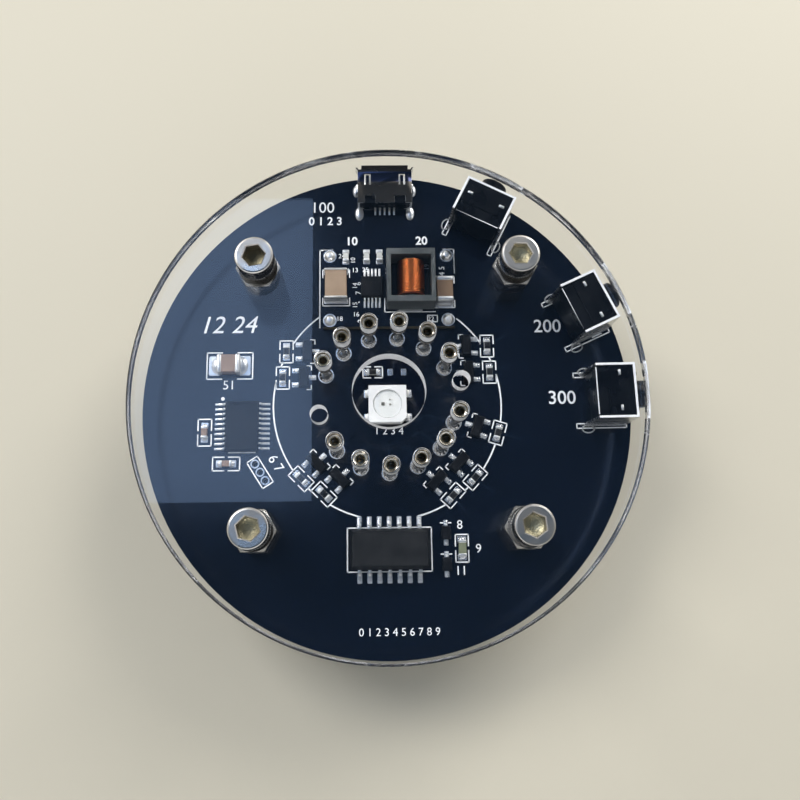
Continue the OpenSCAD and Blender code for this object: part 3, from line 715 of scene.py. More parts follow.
# Darker copper under and between the winding's turns: painted shade.
COPPER_PAINTED_SHADE = Finish("copper_painted_shade_between_turns", (0.42, 0.10, 0.03), (0.30, 0.06, 0.018), 0.4, 0.6)
TAN_CERAMIC = ceramic("tan_ceramic_body", (0.31, 0.225, 0.155), (0.26, 0.185, 0.125))
BROWN_CERAMIC = ceramic("brown_ceramic_body", (0.17, 0.11, 0.068), (0.14, 0.088, 0.053))
ROSE_CERAMIC = ceramic("rose_brown_ceramic", (0.25, 0.175, 0.13), (0.21, 0.145, 0.105))
OLIVE_CERAMIC = ceramic("olive_ceramic_body", (0.18, 0.20, 0.13), (0.14, 0.16, 0.10))
PALE_CERAMIC = Finish("pale_ceramic", (0.50, 0.51, 0.49), (0.42, 0.43, 0.42), 0.5, scale=7000)
RESISTOR_GLASS = Finish("resistor_glass", (0.008, 0.009, 0.011), (0.016, 0.017, 0.019), 0.3, scale=7000,
                        specular=0.3)


def dress(piece: BpyObject, *finishes: Surface) -> BpyObject:
    """Gives an object its materials, in slot order.

    Args:
        piece: The object.
        finishes: Its finishes.

    Returns:
        The same object.
    """
    piece.data.materials.clear()
    for finish in finishes:
        piece.data.materials.append(finish.material())
    return piece


def paint_where(piece: BpyObject, slot: int, test: FaceTest = lambda face: True) -> BpyObject:
    """Moves faces to another material slot.

    Args:
        piece: The object.
        slot: The slot's number.
        test: Says whether a face is moved.

    Returns:
        The same object.
    """
    for face in piece.data.polygons:
        if test(face):
            face.material_index = slot
    return piece


def shown(piece: BpyObject, slot: str, *nodes: str, body: Body = Body.BASE) -> BpyObject:
    """Attaches a finished piece to its body, hides the CAD nodes it stands for, and logs it.

    Args:
        piece: The piece, at the origin.
        slot: Not used.
        nodes: CAD nodes that it replaces, if any.
        body: The body that it rides on.

    Returns:
        The same piece.
    """
    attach(piece, body.value)
    if nodes:
        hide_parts(*nodes)
    LOG.info("%s: %d faces, rides on %s", piece.name, len(piece.data.polygons), body.value)
    return piece


def from_node(node: str, name: str, finish: Surface, bevel: float = 0.0, segments: int = 2) -> BpyObject:
    """Copies a CAD node's mesh and gives it soft edges, smooth rounds and a finish.

    Args:
        node: The CAD node.
        name: Name of the piece.
        finish: Its finish.
        bevel: Width of the soft edges in millimetres; 0 leaves them crisp.
        segments: Steps across a soft edge.

    Returns:
        The piece, not yet attached to a body.
    """
    piece = copied(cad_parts[node], Matrix.Identity(4))
    piece.name = name
    activate(piece)
    bpy.ops.mesh.customdata_custom_splitnormals_clear()
    with editing(piece):
        bpy.ops.mesh.remove_doubles(threshold=0.001 * MM)
        bpy.ops.mesh.dissolve_limited(angle_limit=math.radians(0.3))
    if bevel:
        bevelled(piece, bevel, segments)
    return smoothed(dress(piece, finish))


def node_shown(slot: str, node: str, name: str, finish: Surface, bevel: float = 0.0, segments: int = 2,
               body: Body = Body.BASE) -> BpyObject:
    """Attaches a piece that keeps its CAD node's shape, with soft edges and one finish, and hides the node.
    """
    return shown(from_node(node, name, finish, bevel, segments), slot, node, body=body)


# ---------------------------------------------------------------- places shared by the assemblies


class Stack:
    """Heights and places that every assembly reads from the frame, in millimetres."""

    board_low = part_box("main_board")[0].z / MM
    board_top, board_radius = (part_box("main_board")[1].z / MM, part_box("main_board")[1].x / MM)
    cover_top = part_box("top_disc")[1].z / MM
    foot_disc_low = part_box("bottom_disc")[0].z / MM
    screw = islands("top_screws")[0]
    head_radius = (screw.high.x - screw.low.x) / 2
    half_square = abs(screw.centre.x)
    switch_face = board_radius - 0.95
    switch_yaws = [math.atan2(*reversed(islands(f"{stem}_button")[0].spot)) for stem in SWITCHES]


def box_mm(node: str) -> tuple[Vector, Vector, Vector]:
    """A node's lowest corner, highest corner and middle, in millimetres."""
    low, high = (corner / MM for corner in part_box(node))
    return low, high, (low + high) / 2


# ---------------------------------------------------------------- ink and pads on a board


@dataclass
class Printing:
    """White ink on a board: strokes, boxes, corners, rings and plain numbers."""

    name: str
    z: float
    width: float = 0.16
    thick: float = 0.02
    parts: list[BpyObject] = field(default_factory=list)

    def __post_init__(self) -> None:
        """Models the bar that every stroke copies."""
        self.bar = block(self.name + "_bar", (1, 1, 1), (0, 0, 0))

    def path(self, points: Sequence[Point], centre: Point = (0, 0), yaw: float = 0.0) -> None:
        """Prints strokes through points.

        Args:
            points: The points, about a centre.
            centre: The centre.
            yaw: Turn of the points about it.
        """
        cos, sin = math.cos(yaw), math.sin(yaw)
        placed = [(centre[0] + x * cos - y * sin, centre[1] + x * sin + y * cos) for x, y in points]
        for (x0, y0), (x1, y1) in zip(placed, placed[1:]):
            length = math.hypot(x1 - x0, y1 - y0) + self.width
            place = at((x0 + x1) / 2, (y0 + y1) / 2, self.z + self.thick / 2, math.atan2(y1 - y0, x1 - x0),
                       (length, self.width, self.thick))
            self.parts.append(copied(self.bar, place))

    def box(self, centre: Point, size: Point, yaw: float = 0.0, gap: float = 0.0) -> None:
        """Prints a rectangle, whose long sides have a gap in the middle if asked.

        Args:
            centre: Its middle.
            size: Its sides.
            yaw: Its turn.
            gap: Length of the gaps.
        """
        hx, hy = size[0] / 2, size[1] / 2
        if gap:
            for side in (-1, 1):
                self.path([(side * gap / 2, hy), (side * hx, hy), (side * hx, -hy), (side * gap / 2, -hy)],
                          centre, yaw)
        else:
            self.path([(-hx, -hy), (hx, -hy), (hx, hy), (-hx, hy), (-hx, -hy)], centre, yaw)

    def ring(self, radius: float, width: float, skip: Callable[[float, float], bool], steps: int) -> None:
        """Prints a ring round the board's middle, with bare stretches.

        Args:
            radius: Radius of its middle line.
            width: Width of the line.
            skip: Says whether a place stays bare.
            steps: Steps of the ring.
        """
        ring = primitive("circle", self.name + "_ring", (0, 0, self.z), vertices=steps,
                         radius=radius + width / 2, fill_type="NGON")
        with editing(ring):
            bpy.ops.mesh.inset(thickness=width * MM)
            bpy.ops.mesh.delete(type="FACE")
        with editing_faces(ring, lambda face: skip(face.center.x / MM, face.center.y / MM)):
            bpy.ops.mesh.delete(type="FACE")
        self.parts.append(applied(ring, "SOLIDIFY", thickness=self.thick * MM, offset=1.0))

    def dot(self, centre: Point, radius: float) -> None:
        """Prints a filled round dot."""
        self.parts.append(primitive("cylinder", self.name + "_dot", (*centre, self.z + self.thick / 2),
                                    vertices=20, radius=radius, depth=self.thick))

    def number(self, words: str, centre: Point, height: float, yaw: float = 0.0, slant: float = 0.0,
               stroke: float = 0.0) -> None:
        """Prints a plain number.

        Args:
            words: Digits and spaces.
            centre: Middle of the number.
            height: Height of a digit.
            yaw: Turn in radians.
            slant: Lean of the digits.
            stroke: Growth of the outlines, for bolder digits.
        """
        deselect_all()
        bpy.ops.object.text_add()
        data = newest(self.name + "_number").data
        for key, value in {"body": words, "align_x": "CENTER", "align_y": "CENTER", "size": height * MM / 0.7,
                           "shear": slant, "offset": stroke * MM, "extrude": self.thick * MM / 2,
                           "resolution_u": 4}.items():
            setattr(data, key, value)
        bpy.ops.object.convert(target="MESH")
        text = bpy.context.view_layer.objects.active
        text.matrix_world = at(*centre, self.z + self.thick / 2, yaw)
        self.parts.append(settle(text))

    def done(self, finish: Finish = INK) -> BpyObject:
        """Joins all the ink into one piece."""
        discarded(self.bar)
        return dress(joined(self.name, self.parts), finish)


@dataclass
class SolderWork:
    """Bare pads, rings and solder on a board."""

    name: str
    z: float
    up: float = 1.0
    thick: float = 0.035
    parts: list[BpyObject] = field(default_factory=list)

    def __post_init__(self) -> None:
        """Models the pad and the drop that the rest copies."""
        self.pad = block(self.name + "_pad", (1, 1, 1), (0, 0, 0.5))
        with editing(self.pad):
            bpy.ops.mesh.bevel(offset=0.12 * MM, segments=3, affect="EDGES")
        smoothed(self.pad)
        self.ball = primitive("uv_sphere", self.name + "_drop", segments=16, ring_count=10, radius=0.5)
        with editing(self.ball):
            bpy.ops.mesh.bisect(plane_co=(0, 0, 0), plane_no=(0, 0, 1), clear_inner=True, use_fill=True)
        smoothed(self.ball, 60)

    def lay(self, model: BpyObject, centre: Point, yaw: float, size: Sequence[float]) -> None:
        """Copies a model to a place on the board, turned and scaled."""
        self.parts.append(copied(model, at(*centre, self.z, yaw, (size[0], size[1], size[2] * self.up))))

    def add_pad(self, centre: Point, size: Point, yaw: float = 0.0) -> None:
        """Lays a flat tinned pad."""
        self.lay(self.pad, centre, yaw, (*size, self.thick))

    def add_drop(self, centre: Point, size: Sequence[float], yaw: float = 0.0) -> None:
        """Sets a rounded drop of solder of the given length, width and height."""
        self.lay(self.ball, centre, yaw, (size[0], size[1], 2 * size[2]))

    def add_round(self, centre: Point, profile: Sequence[Point], steps: int) -> None:
        """Lays something turned, such as a ring or a cone.

        Args:
            centre: Its middle.
            profile: Its outline, as points of (radius, height).
            steps: Steps of the spin.
        """
        model = turned(self.name + "_round", profile, steps)
        self.lay(model, centre, 0, (1, 1, 1))
        discarded(model)

    def add_ring(self, centre: Point, outer: float, inner: float) -> None:
        """Lays a flat tinned ring round a hole."""
        top = self.thick
        self.add_round(centre, [(inner, 0), (outer, 0), (outer, top), (inner, top), (inner, 0)], 32)

    def add_cone(self, centre: Point, outer: float, height: float) -> None:
        """Sets a hollow-sided cone of solder round a pin or leg.

        Args:
            centre: Its middle.
            outer: Radius of its foot.
            height: Its height.
        """
        slopes = [QUARTER * i / 6 for i in range(7)]
        flare = [(outer - (outer - 0.25) * math.sin(a), height * (1 - math.cos(a))) for a in slopes]
        self.add_round(centre, [(0, 0), *flare, (0, height * 1.05)], 24)

    def lead_feet(self, node: str, beyond: float, wider: float) -> None:
        """Lays a pad and solder under every lead of a node.

        Args:
            node: CAD node of the leads.
            beyond: How far the pads reach past the toes.
            wider: How much wider than the leads the pads are.
        """
        for lead in islands(node):
            foot = Island(tuple(p for p in lead.points if p.z < self.z + 0.22))
            step = foot.centre - lead.centre
            yaw = math.atan2(step.y, step.x)
            along, across, length, width = foot.extent(yaw)
            toe = along + length / 2
            middle = toe + (beyond - length - 0.15) / 2
            self.add_pad(turned_point(middle, across, yaw), (length + beyond + 0.15, width + wider), yaw)
            self.add_drop(turned_point(toe + beyond * 0.15, across, yaw),
                          (beyond + 0.16, width + wider * 0.5, 0.13), yaw)

    def part_ends(self, node: str, beyond: float, rise: float) -> None:
        """Lays a pad and a fillet at both ends of every chip part of a node.

        Args:
            node: CAD node of the parts.
            beyond: How far the pads reach past the ends.
            rise: Height of the fillets.
        """
        for part in islands(node):
            yaw = part.long_yaw()
            along, across, length, width = part.extent(yaw)
            for side in (-1, 1):
                end = along + side * (length / 2 + beyond / 2 - 0.15)
                self.add_pad(turned_point(end, across, yaw), (beyond + 0.3, width + 0.1), yaw)
                self.add_drop(turned_point(along + side * length / 2, across, yaw),
                              (beyond * 1.5, width * 0.96, rise), yaw)

    def done(self) -> BpyObject:
        """Joins all the solder work into one piece."""
        discarded(self.pad, self.ball)
        return dress(joined(self.name, self.parts), SOLDER)


# ---------------------------------------------------------------- discs, screws and standoffs


@dataclass
class ClearDiscs:
    """The two clear discs, with cut edges of their own finish; the outer rim's grey tint is a painted dark
    reflection.
    """

    steep: float = 0.7
    rim_width: float = 1.0

    def build(self) -> None:
        """Dresses both discs."""
        for node, name in (("top_disc", "upper_clear_disc"), ("bottom_disc", "lower_clear_disc")):
            disc = dress(from_node(node, name, ACRYLIC), ACRYLIC, ACRYLIC_RIM_DARK_REFLECTION, ACRYLIC_WALL)
            rim = disc.dimensions.x / 2 - self.rim_width * MM
            # Outer rim faces get the grey tint of painted dark reflection; window walls get the frosted
            # finish.
            for face in disc.data.polygons:
                if abs(face.normal.z) < self.steep:
                    face.material_index = 2 if math.hypot(face.center.x, face.center.y) < rim else 1
            shown(disc, "clear_acrylic", node)


@dataclass
class CapScrews:
    """Socket-head screws with knurled heads and cut threads."""

    head_height: float = 3.0
    knurls: int = 96
    knurl_depth: float = 0.05
    rim_bevel: float = 0.3
    key_across: float = 2.5
    key_depth: float = 1.5
    key_lead: float = 0.13
    thread_radius: float = 1.5
    thread_pitch: float = 0.5
    thread_depth: float = 0.26
    ridge: float = 0.2
    tip: float = 0.2
    ridge_start: float = 0.3
    turns: tuple[float, ...] = (0.25, 0.1, 0.5, 0.7)

    def head(self) -> BpyObject:
        """Models one head, from z = 0 up, with its knurl and its key socket.

        Returns:
            The head.
        """
        head = primitive("cylinder", "screw_head", (0, 0, self.head_height / 2), vertices=self.knurls,
                         radius=Stack.head_radius, depth=self.head_height)
        bevelled(head, self.rim_bevel, 3, 60)
        middle = self.head_height / 2 * MM
        step = math.tau / self.knurls

        def is_groove(face: bpy.types.MeshPolygon) -> bool:
            """Every second face of the plain side."""
            plain = abs(face.normal.z) <= 0.1 and abs(face.center.z - middle) <= 0.2 * MM
            return plain and round(math.atan2(face.center.y, face.center.x) / step - 0.5) % 2 == 0

        with editing_faces(head, is_groove):
            bpy.ops.mesh.inset(thickness=0.02 * MM, depth=-self.knurl_depth * MM, use_individual=True)
        top = (0, 0, self.head_height)
        corner = self.key_across / math.sqrt(3)
        cut(head, primitive("cylinder", "key_socket", top, vertices=6, radius=corner,
                            depth=2 * self.key_depth))
        funnel = turned("key_floor", [(0, -0.55), (self.key_across / 2 - 0.02, 0), (0, 0.3)], 36)
        cut(head, raised(funnel, (self.head_height - self.key_depth) * MM))
        lead = self.key_lead / math.cos(math.pi / 6)
        cut(head, primitive("cone", "key_lead", top, vertices=6, radius1=corner, radius2=corner + 2 * lead,
                            depth=2 * self.key_lead))
        return smoothed(head, 14)

    def shank(self, length: float) -> BpyObject:
        """Models one thread, from z = 0 down.

        Args:
            length: Its length.

        Returns:
            The shank.
        """
        core = self.thread_radius - self.thread_depth
        rod = turned("screw_core", [(0, -length), (core - self.tip, -length), (core, self.tip - length),
                                    (core, 0.05), (0, 0.05)], 36)
        turns = (length - 2 * self.ridge_start) / self.thread_pitch
        ridge = coil("screw_thread", core + 0.02, self.ridge, self.thread_pitch, turns, 6)
        return joined("screw_shank", [rod, raised(ridge, (self.ridge_start - length) * MM)])

    def screw(self, node: str) -> BpyObject:
        """Joins a head and a shank.

        Args:
            node: The CAD node whose screws it is as long as.

        Returns:
            The screw.
        """
        low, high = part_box(node)
        length = (high.z - low.z) / MM - self.head_height
        model = joined("cap_screw", [self.head(), self.shank(length)])
        dress(model, PLATED_STEEL, KEY_FLOOR, KNURL_PAINTED_SHADE)
        floor = (self.head_height - self.key_depth + 0.4) * MM
        # The knurled sides of the head get painted shade.
        side = (Stack.head_radius - 2 * self.knurl_depth) * MM
        paint_where(model, 2, lambda face: face.center.z > self.rim_bevel * MM and abs(face.normal.z) < 0.3
                    and math.hypot(face.center.x, face.center.y) > side)
        return paint_where(model, 1, lambda face: 0.5 * MM < face.center.z < floor and face.normal.z > 0.2
                           and math.hypot(face.center.x, face.center.y) < 0.6 * self.key_across * MM)

    def build(self) -> None:
        """Puts four screws in each clear disc."""
        half = Stack.half_square
        places = ((-half, -half), (half, -half), (half, half), (-half, half))
        for node, name, z, flip in (
            ("top_screws", "upper_cap_screws", Stack.cover_top, 0.0),
            ("bottom_screws", "lower_cap_screws", Stack.foot_disc_low, math.pi),
        ):
            model = self.screw(node)
            copies = [copied(model, at(*place, z, turn) @ Matrix.Rotation(flip, 4, "X"))
                      for place, turn in zip(places, self.turns)]
            discarded(model)
            shown(joined(name, copies), "steel", node)


@dataclass
class Standoffs:
    """Hexagonal standoffs with softened corners."""

    corner: float = 0.12

    def build(self) -> None:
        """Dresses both sets of standoffs."""
        for level in ("upper", "lower"):
            node_shown("standoff_metal", f"{level}_standoffs", f"{level}_hex_standoffs", STANDOFF_METAL,
                       self.corner)


# ---------------------------------------------------------------- tube sockets and lamp


@dataclass
class TubeSockets:
    """Turned pin sockets, their spring contacts and their solder."""

    corner: float = 0.03

    def build(self) -> None:
        """Dresses shells, contacts and solder joints."""
        node_shown("tinned", "socket_shells", "turned_pin_sockets", SOCKET_METAL, self.corner)
        node_shown("gold", "socket_contacts", "spring_contacts", GOLD)
        node_shown("solder", "socket_solder", "socket_solder_joints", DULL_SOLDER)


@dataclass
class Lamp:
    """White lamp with a clear resin well, dies and bond wires."""

    resin: float = 0.3
    crown: float = 0.1
    crown_rise: float = 0.09
    dies: tuple[tuple[float, float, float], ...] = ((-0.6, 0.0, 0.42), (0.33, -0.08, 0.22), (0.3, 0.55, 0.18))

    def build(self) -> None:
        """Models the lamp's parts."""
        node_shown("lamp_white", "lamp_body", "lamp_housing", WHITE_MOULDING, 0.12, 3)
        low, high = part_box("lamp_lens")
        radius = (high.x - low.x) / 2 / MM - 0.02
        depth = (high.z - low.z) / MM
        well = depth - self.resin
        profile = [(0, well + 0.01), (radius, well + 0.01), (radius, depth - self.crown)]
        profile += [(radius * math.cos(a), depth - self.crown + self.crown_rise * math.sin(a))
                    for a in (QUARTER * i / 6 for i in range(1, 7))]
        lens = dress(raised(turned("lamp_lens_resin", profile, 64), low.z), LAMP_GEL)
        shown(lens, "lamp_gel", "lamp_lens")
        cup = raised(turned("lamp_well", [(0, 0), (radius, 0), (radius, well), (0, well)], 64), low.z)
        shown(dress(cup, LAMP_WELL), "lamp_white")
        floor = low.z / MM + well
        parts = [block("die", (side, side, 0.1), (x, y, floor + 0.07), 0.015) for x, y, side in self.dies]
        parts += [primitive("torus", "bond_wire", (x + 0.2, y, floor + 0.02), major_radius=0.16,
                            minor_radius=0.015, major_segments=24, minor_segments=6,
                            rotation=(QUARTER, 0, 0.6 * x)) for x, y, _ in self.dies]
        shown(dress(joined("lamp_dies_and_wires", parts), LAMP_DIE), "lamp_white")
        node_shown("tinned", "lamp_leads", "lamp_lead_frame", TIN, 0.02)


# ---------------------------------------------------------------- supply inlet and switches


@dataclass
class SupplyInlet:
    """Folded inlet shell, its moulded tongue and its contacts."""

    lip_at: float = 0.8
    mouth_at: float = 2.25
    top_band: float = 0.9

    def build(self) -> None:
        """Dresses the inlet's parts, with painted reflections and painted edge highlights on the shell's top.
        """
        shell = dress(from_node("inlet_shell", "folded_inlet_shell", TIN_SHEET, 0.05), TIN_SHEET, LIP_REFLECTION_SHEET,
                      BAND_REFLECTION_SHEET, REAR_REFLECTION_SHEET, EDGE_HIGHLIGHT)
        low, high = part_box("inlet_shell")
        level = high.z - self.top_band * MM
        # Top faces in three bands back from the mouth get painted reflections: dark lip, blue band,
        # grey-brown rear.
        bands = ((3, low.y - MM), (2, high.y - self.mouth_at * MM), (1, high.y - self.lip_at * MM))
        divided(shell, Vector((0, 1, 0)), *(start for _, start in bands[1:]))
        for slot, start in bands:
            paint_where(shell, slot, lambda face, y=start: face.normal.z > 0.7 and face.center.z > level
                        and face.center.y > y)
        # Sloped edge faces along the shell's top get painted highlights.
        paint_where(shell, 4, lambda face: 0.25 < face.normal.z < 0.97 and abs(face.normal.x) > 0.2
                    and face.center.z > level)
        shown(shell, "tin_sheet", "inlet_shell")
        node_shown("black_moulding", "inlet_insert", "inlet_tongue", BLACK_NYLON, 0.04)
        contacts = dress(from_node("inlet_contacts", "inlet_blades", GOLD, 0.01), GOLD, TIN)
        paint_where(contacts, 1, lambda face: face.center.y < low.y + MM)
        shown(contacts, "gold", "inlet_contacts")


@dataclass
class PushSwitches:
    """Three right-angle push switches: folded brackets, moulded cups and round buttons."""

    # Width of the painted highlight strips on cups and brackets.
    edge: float = 0.13

    def switch(self, stem: str) -> None:
        """Dresses one switch's bracket, cup and button.

        Args:
            stem: The switch's name in its nodes.
        """
        bracket = from_node(f"{stem}_bracket", f"{stem}_folded_bracket", TIN_SHEET, 0.06)
        cup = from_node(f"{stem}_switch_body", f"{stem}_moulded_cup", BLACK_NYLON, 0.06)
        outward = Vector((*islands(f"{stem}_button")[0].spot, 0)).normalized()
        # A narrow strip along the cup's rear top edge gets a painted highlight.
        rear = min(v.co.dot(outward) for v in cup.data.vertices) + self.edge * MM
        dress(divided(cup, outward, rear), BLACK_NYLON, EDGE_HIGHLIGHT)
        paint_where(cup, 1, lambda face: face.normal.z > 0.3 and face.center.dot(outward) < rear)
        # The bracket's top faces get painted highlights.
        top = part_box(f"{stem}_bracket")[1].z - self.edge * MM
        dress(bracket, TIN_SHEET, EDGE_HIGHLIGHT)
        paint_where(bracket, 1, lambda face: face.normal.z > 0.5 and face.center.z > top)
        shown(bracket, "tin_sheet", f"{stem}_bracket")
        shown(cup, "black_moulding", f"{stem}_switch_body")
        node_shown("black_moulding", f"{stem}_button", f"{stem}_push_button", BLACK_NYLON, 0.1, 3,
                   SWITCHES[stem])

    def build(self) -> None:
        """Builds the three switches and what they share."""
        for stem in SWITCHES:
            self.switch(stem)
        node_shown("tinned", "switch_terminals", "switch_legs", TIN, 0.04)
        node_shown("tin_sheet", "switch_domes", "snap_domes", TIN_SHEET)


# ---------------------------------------------------------------- chips and chip parts


@dataclass
class ChipParts:
    """Two-ended ceramic parts of one node, with rounded metal ends."""

    node: str
    name: str
    slot: str
    body: Finish
    end_share: float
    ends: Finish = TIN
    plate: Finish | None = None
    shrink: float = 0.05
    end_round: float = 0.14

    def model(self, length: float, width: float, height: float) -> BpyObject:
        """Models one part on the origin, along X.

        Args:
            length: Its length.
            width: Its width.
            height: Its height.

        Returns:
            The part.
        """
        cap = length * self.end_share
        shrink = self.shrink * height
        coats = (self.body, self.ends, self.plate or self.body)
        pieces = [dress(block("core", (length - cap, width - 2 * shrink, height - 2 * shrink),
                              (0, 0, height / 2), shrink), *coats)]
        for side in (-1, 1):
            end = block("end", (cap, width, height), (side * (length - cap) / 2, 0, height / 2),
                        self.end_round * height)
            pieces.append(paint_where(dress(end, *coats), 1))
        if self.plate:
            film = block("film", (length - 2.2 * cap, width * 0.9, 0.04),
                         (0, 0, height - shrink + 0.01), 0.015)
            pieces.append(paint_where(dress(film, *coats), 2))
        return joined("chip_part", pieces)

    def build(self) -> None:
        """Models each part of the node at its own place."""
        made = []
        for part in islands(self.node):
            yaw = part.long_yaw()
            along, across, length, width = part.extent(yaw)
            model = self.model(length, width, part.high.z - part.low.z)
            made.append(copied(model, at(*turned_point(along, across, yaw), part.low.z, yaw)))
            discarded(model)
        shown(joined(self.name, made), self.slot, self.node)


@dataclass
class StepUpConverter:
    """The converter's board and parts."""

    wire: float = 0.1
    pad_width: float = 0.9
    small_numbers: tuple[tuple[str, float, float, float], ...] = (
        ("10", 4.05, 9.3, 1.57), ("11", 5.75, 9.6, 1.57), ("12", 7.7, 9.7, 0.0), ("13", 4.3, 7.9, 0.0),
        ("14", 4.3, 5.7, 1.57), ("15", 4.3, 3.0, 1.57), ("16", 4.4, 1.7, 0.0), ("17", 6.9, 0.75, 0.0),
        ("18", 2.2, 1.1, 0.0), ("19", 14.0, 8.3, 1.57), ("21", 14.9, 9.5, 0.0), ("22", 14.4, 1.0, 0.0),
        ("23", 9.3, 0.7, 0.0), ("24", 2.5, 9.9, 0.0), ("25", 5.7, 7.95, 0.0))

    def winding(self) -> BpyObject:
        """Winds the inductor's wire round the core's post, along Y.

        Returns:
            The winding, in its place.
        """
        low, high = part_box("inductor_winding")
        radius = (high.x - low.x) / 2 / MM
        length = (high.y - low.y) / MM
        turns = int((length - 2 * self.wire) / (2 * self.wire))
        wire = coil("wire", radius - self.wire, self.wire, (length - 2 * self.wire) / turns, turns)
        # A darker core under the turns stands for painted shade between them.
        end, inner = length / 2 - 0.05, radius - 1.6 * self.wire
        under = turned("under", [(0, -end), (inner, -end), (inner, end), (0, end)])
        dress(raised(wire, (self.wire - length / 2) * MM), COPPER, COPPER_PAINTED_SHADE)
        piece = joined("copper_winding", [wire, paint_where(dress(under, COPPER, COPPER_PAINTED_SHADE), 1)])
        piece.data.transform(Matrix.Translation((low + high) / 2) @ Matrix.Rotation(-QUARTER, 4, "X"))
        return piece

    def printing(self) -> BpyObject:
        """Prints the lines and numbers on the converter's board.

        Returns:
            The ink, as one piece.
        """
        (x0, y0, _), (x1, y1, top), middle = box_mm("converter_board")
        ink = Printing("converter_printing", top, 0.13)
        core_low, core_high, _ = box_mm("inductor_core")
        cx0, cx1, cy0 = core_low.x - 0.25, core_high.x, core_low.y - 0.3
        ink.path([(cx0, cy0 + 1.9), (cx0, cy0), (cx1 + 0.1, cy0)])
        chip_low, _, chip = box_mm("converter_chip")
        ink.dot((chip_low.x - 0.3, chip_low.y - 0.45), 0.1)
        for words, x, y, height, turn in (
            ("1", x0 + 3.4, y1 - 3.0, 0.7, 0.0), ("2", x0 + 5.0, y0 + 0.8, 0.7, QUARTER),
            ("3", chip.x + 2.0, y1 - 3.1, 0.7, 0.0), ("4 5", x1 - 1.55, y1 - 3.1, 0.75, QUARTER),
            ("6", x0 + 4.75, middle.y + 0.6, 0.7, QUARTER), ("7", x0 + 4.75, middle.y - 0.7, 0.7, QUARTER),
        ):
            ink.number(words, (x, y), height, turn)
        ink.box((x1 - 3.0, y0 + 1.05), (1.3, 0.9))
        for words, x, y, turn in self.small_numbers:
            ink.number(words, (x0 + x, y0 + y), 0.62, turn)
        for node in ("output_capacitor", "input_capacitor"):
            part = islands(node)[0]
            _, _, length, width = part.extent(QUARTER)
            ink.box(part.spot, (length + 0.9, width + 0.5), QUARTER, length * 0.7)
        return ink.done()

    def solder(self) -> BpyObject:
        """Lays the pads and solder on the converter's board.

        Returns:
            The solder, as one piece.
        """
        work = SolderWork("converter_solder", box_mm("converter_board")[1].z)
        work.lead_feet("converter_chip_leads", 0.3, 0.06)
        for node, beyond, rise in (("converter_small_parts", 0.3, 0.3), ("output_capacitor", 0.2, 0.4),
                                   ("input_capacitor", 0.45, 0.6)):
            work.part_ends(node, beyond, rise)
        for post in islands("converter_pins"):
            work.add_ring(post.spot, self.pad_width, 0.45)
            work.add_cone(post.spot, self.pad_width * 0.85, 0.55)
        low, high, middle = box_mm("inductor_core")
        for y in (low.y + 0.2, high.y - 0.2):
            work.add_pad((middle.x, y), (3.2, 0.9))
        return work.done()

    def build(self) -> None:
        """Builds the converter."""
        board = dress(from_node("converter_board", "converter_lacquered_board", LACQUER), LACQUER, LAMINATE)
        shown(paint_where(board, 1, lambda face: abs(face.normal.z) < 0.5), "solder_mask", "converter_board")
        node_shown("solder", "converter_pins", "converter_posts", TIN, 0.05)
        node_shown("ferrite", "inductor_core", "ferrite_frame", FERRITE, 0.12, 3)
        shown(self.winding(), "copper", "inductor_winding")
        node_shown("black_moulding", "converter_chip", "converter_epoxy_body", BLACK_EPOXY, 0.05)
        node_shown("tinned", "converter_chip_leads", "converter_lead_frame", TIN, 0.02)
        ChipParts("output_capacitor", "output_ceramic_block", "tan_ceramic", TAN_CERAMIC, 0.075).build()
        ChipParts("input_capacitor", "input_ceramic_block", "brown_ceramic", BROWN_CERAMIC, 0.2,
                  SOLDER).build()
        ChipParts("converter_small_parts", "converter_chip_parts", "tan_ceramic", PALE_CERAMIC, 0.24).build()
        shown(self.printing(), "solder_mask")
        shown(self.solder(), "solder")


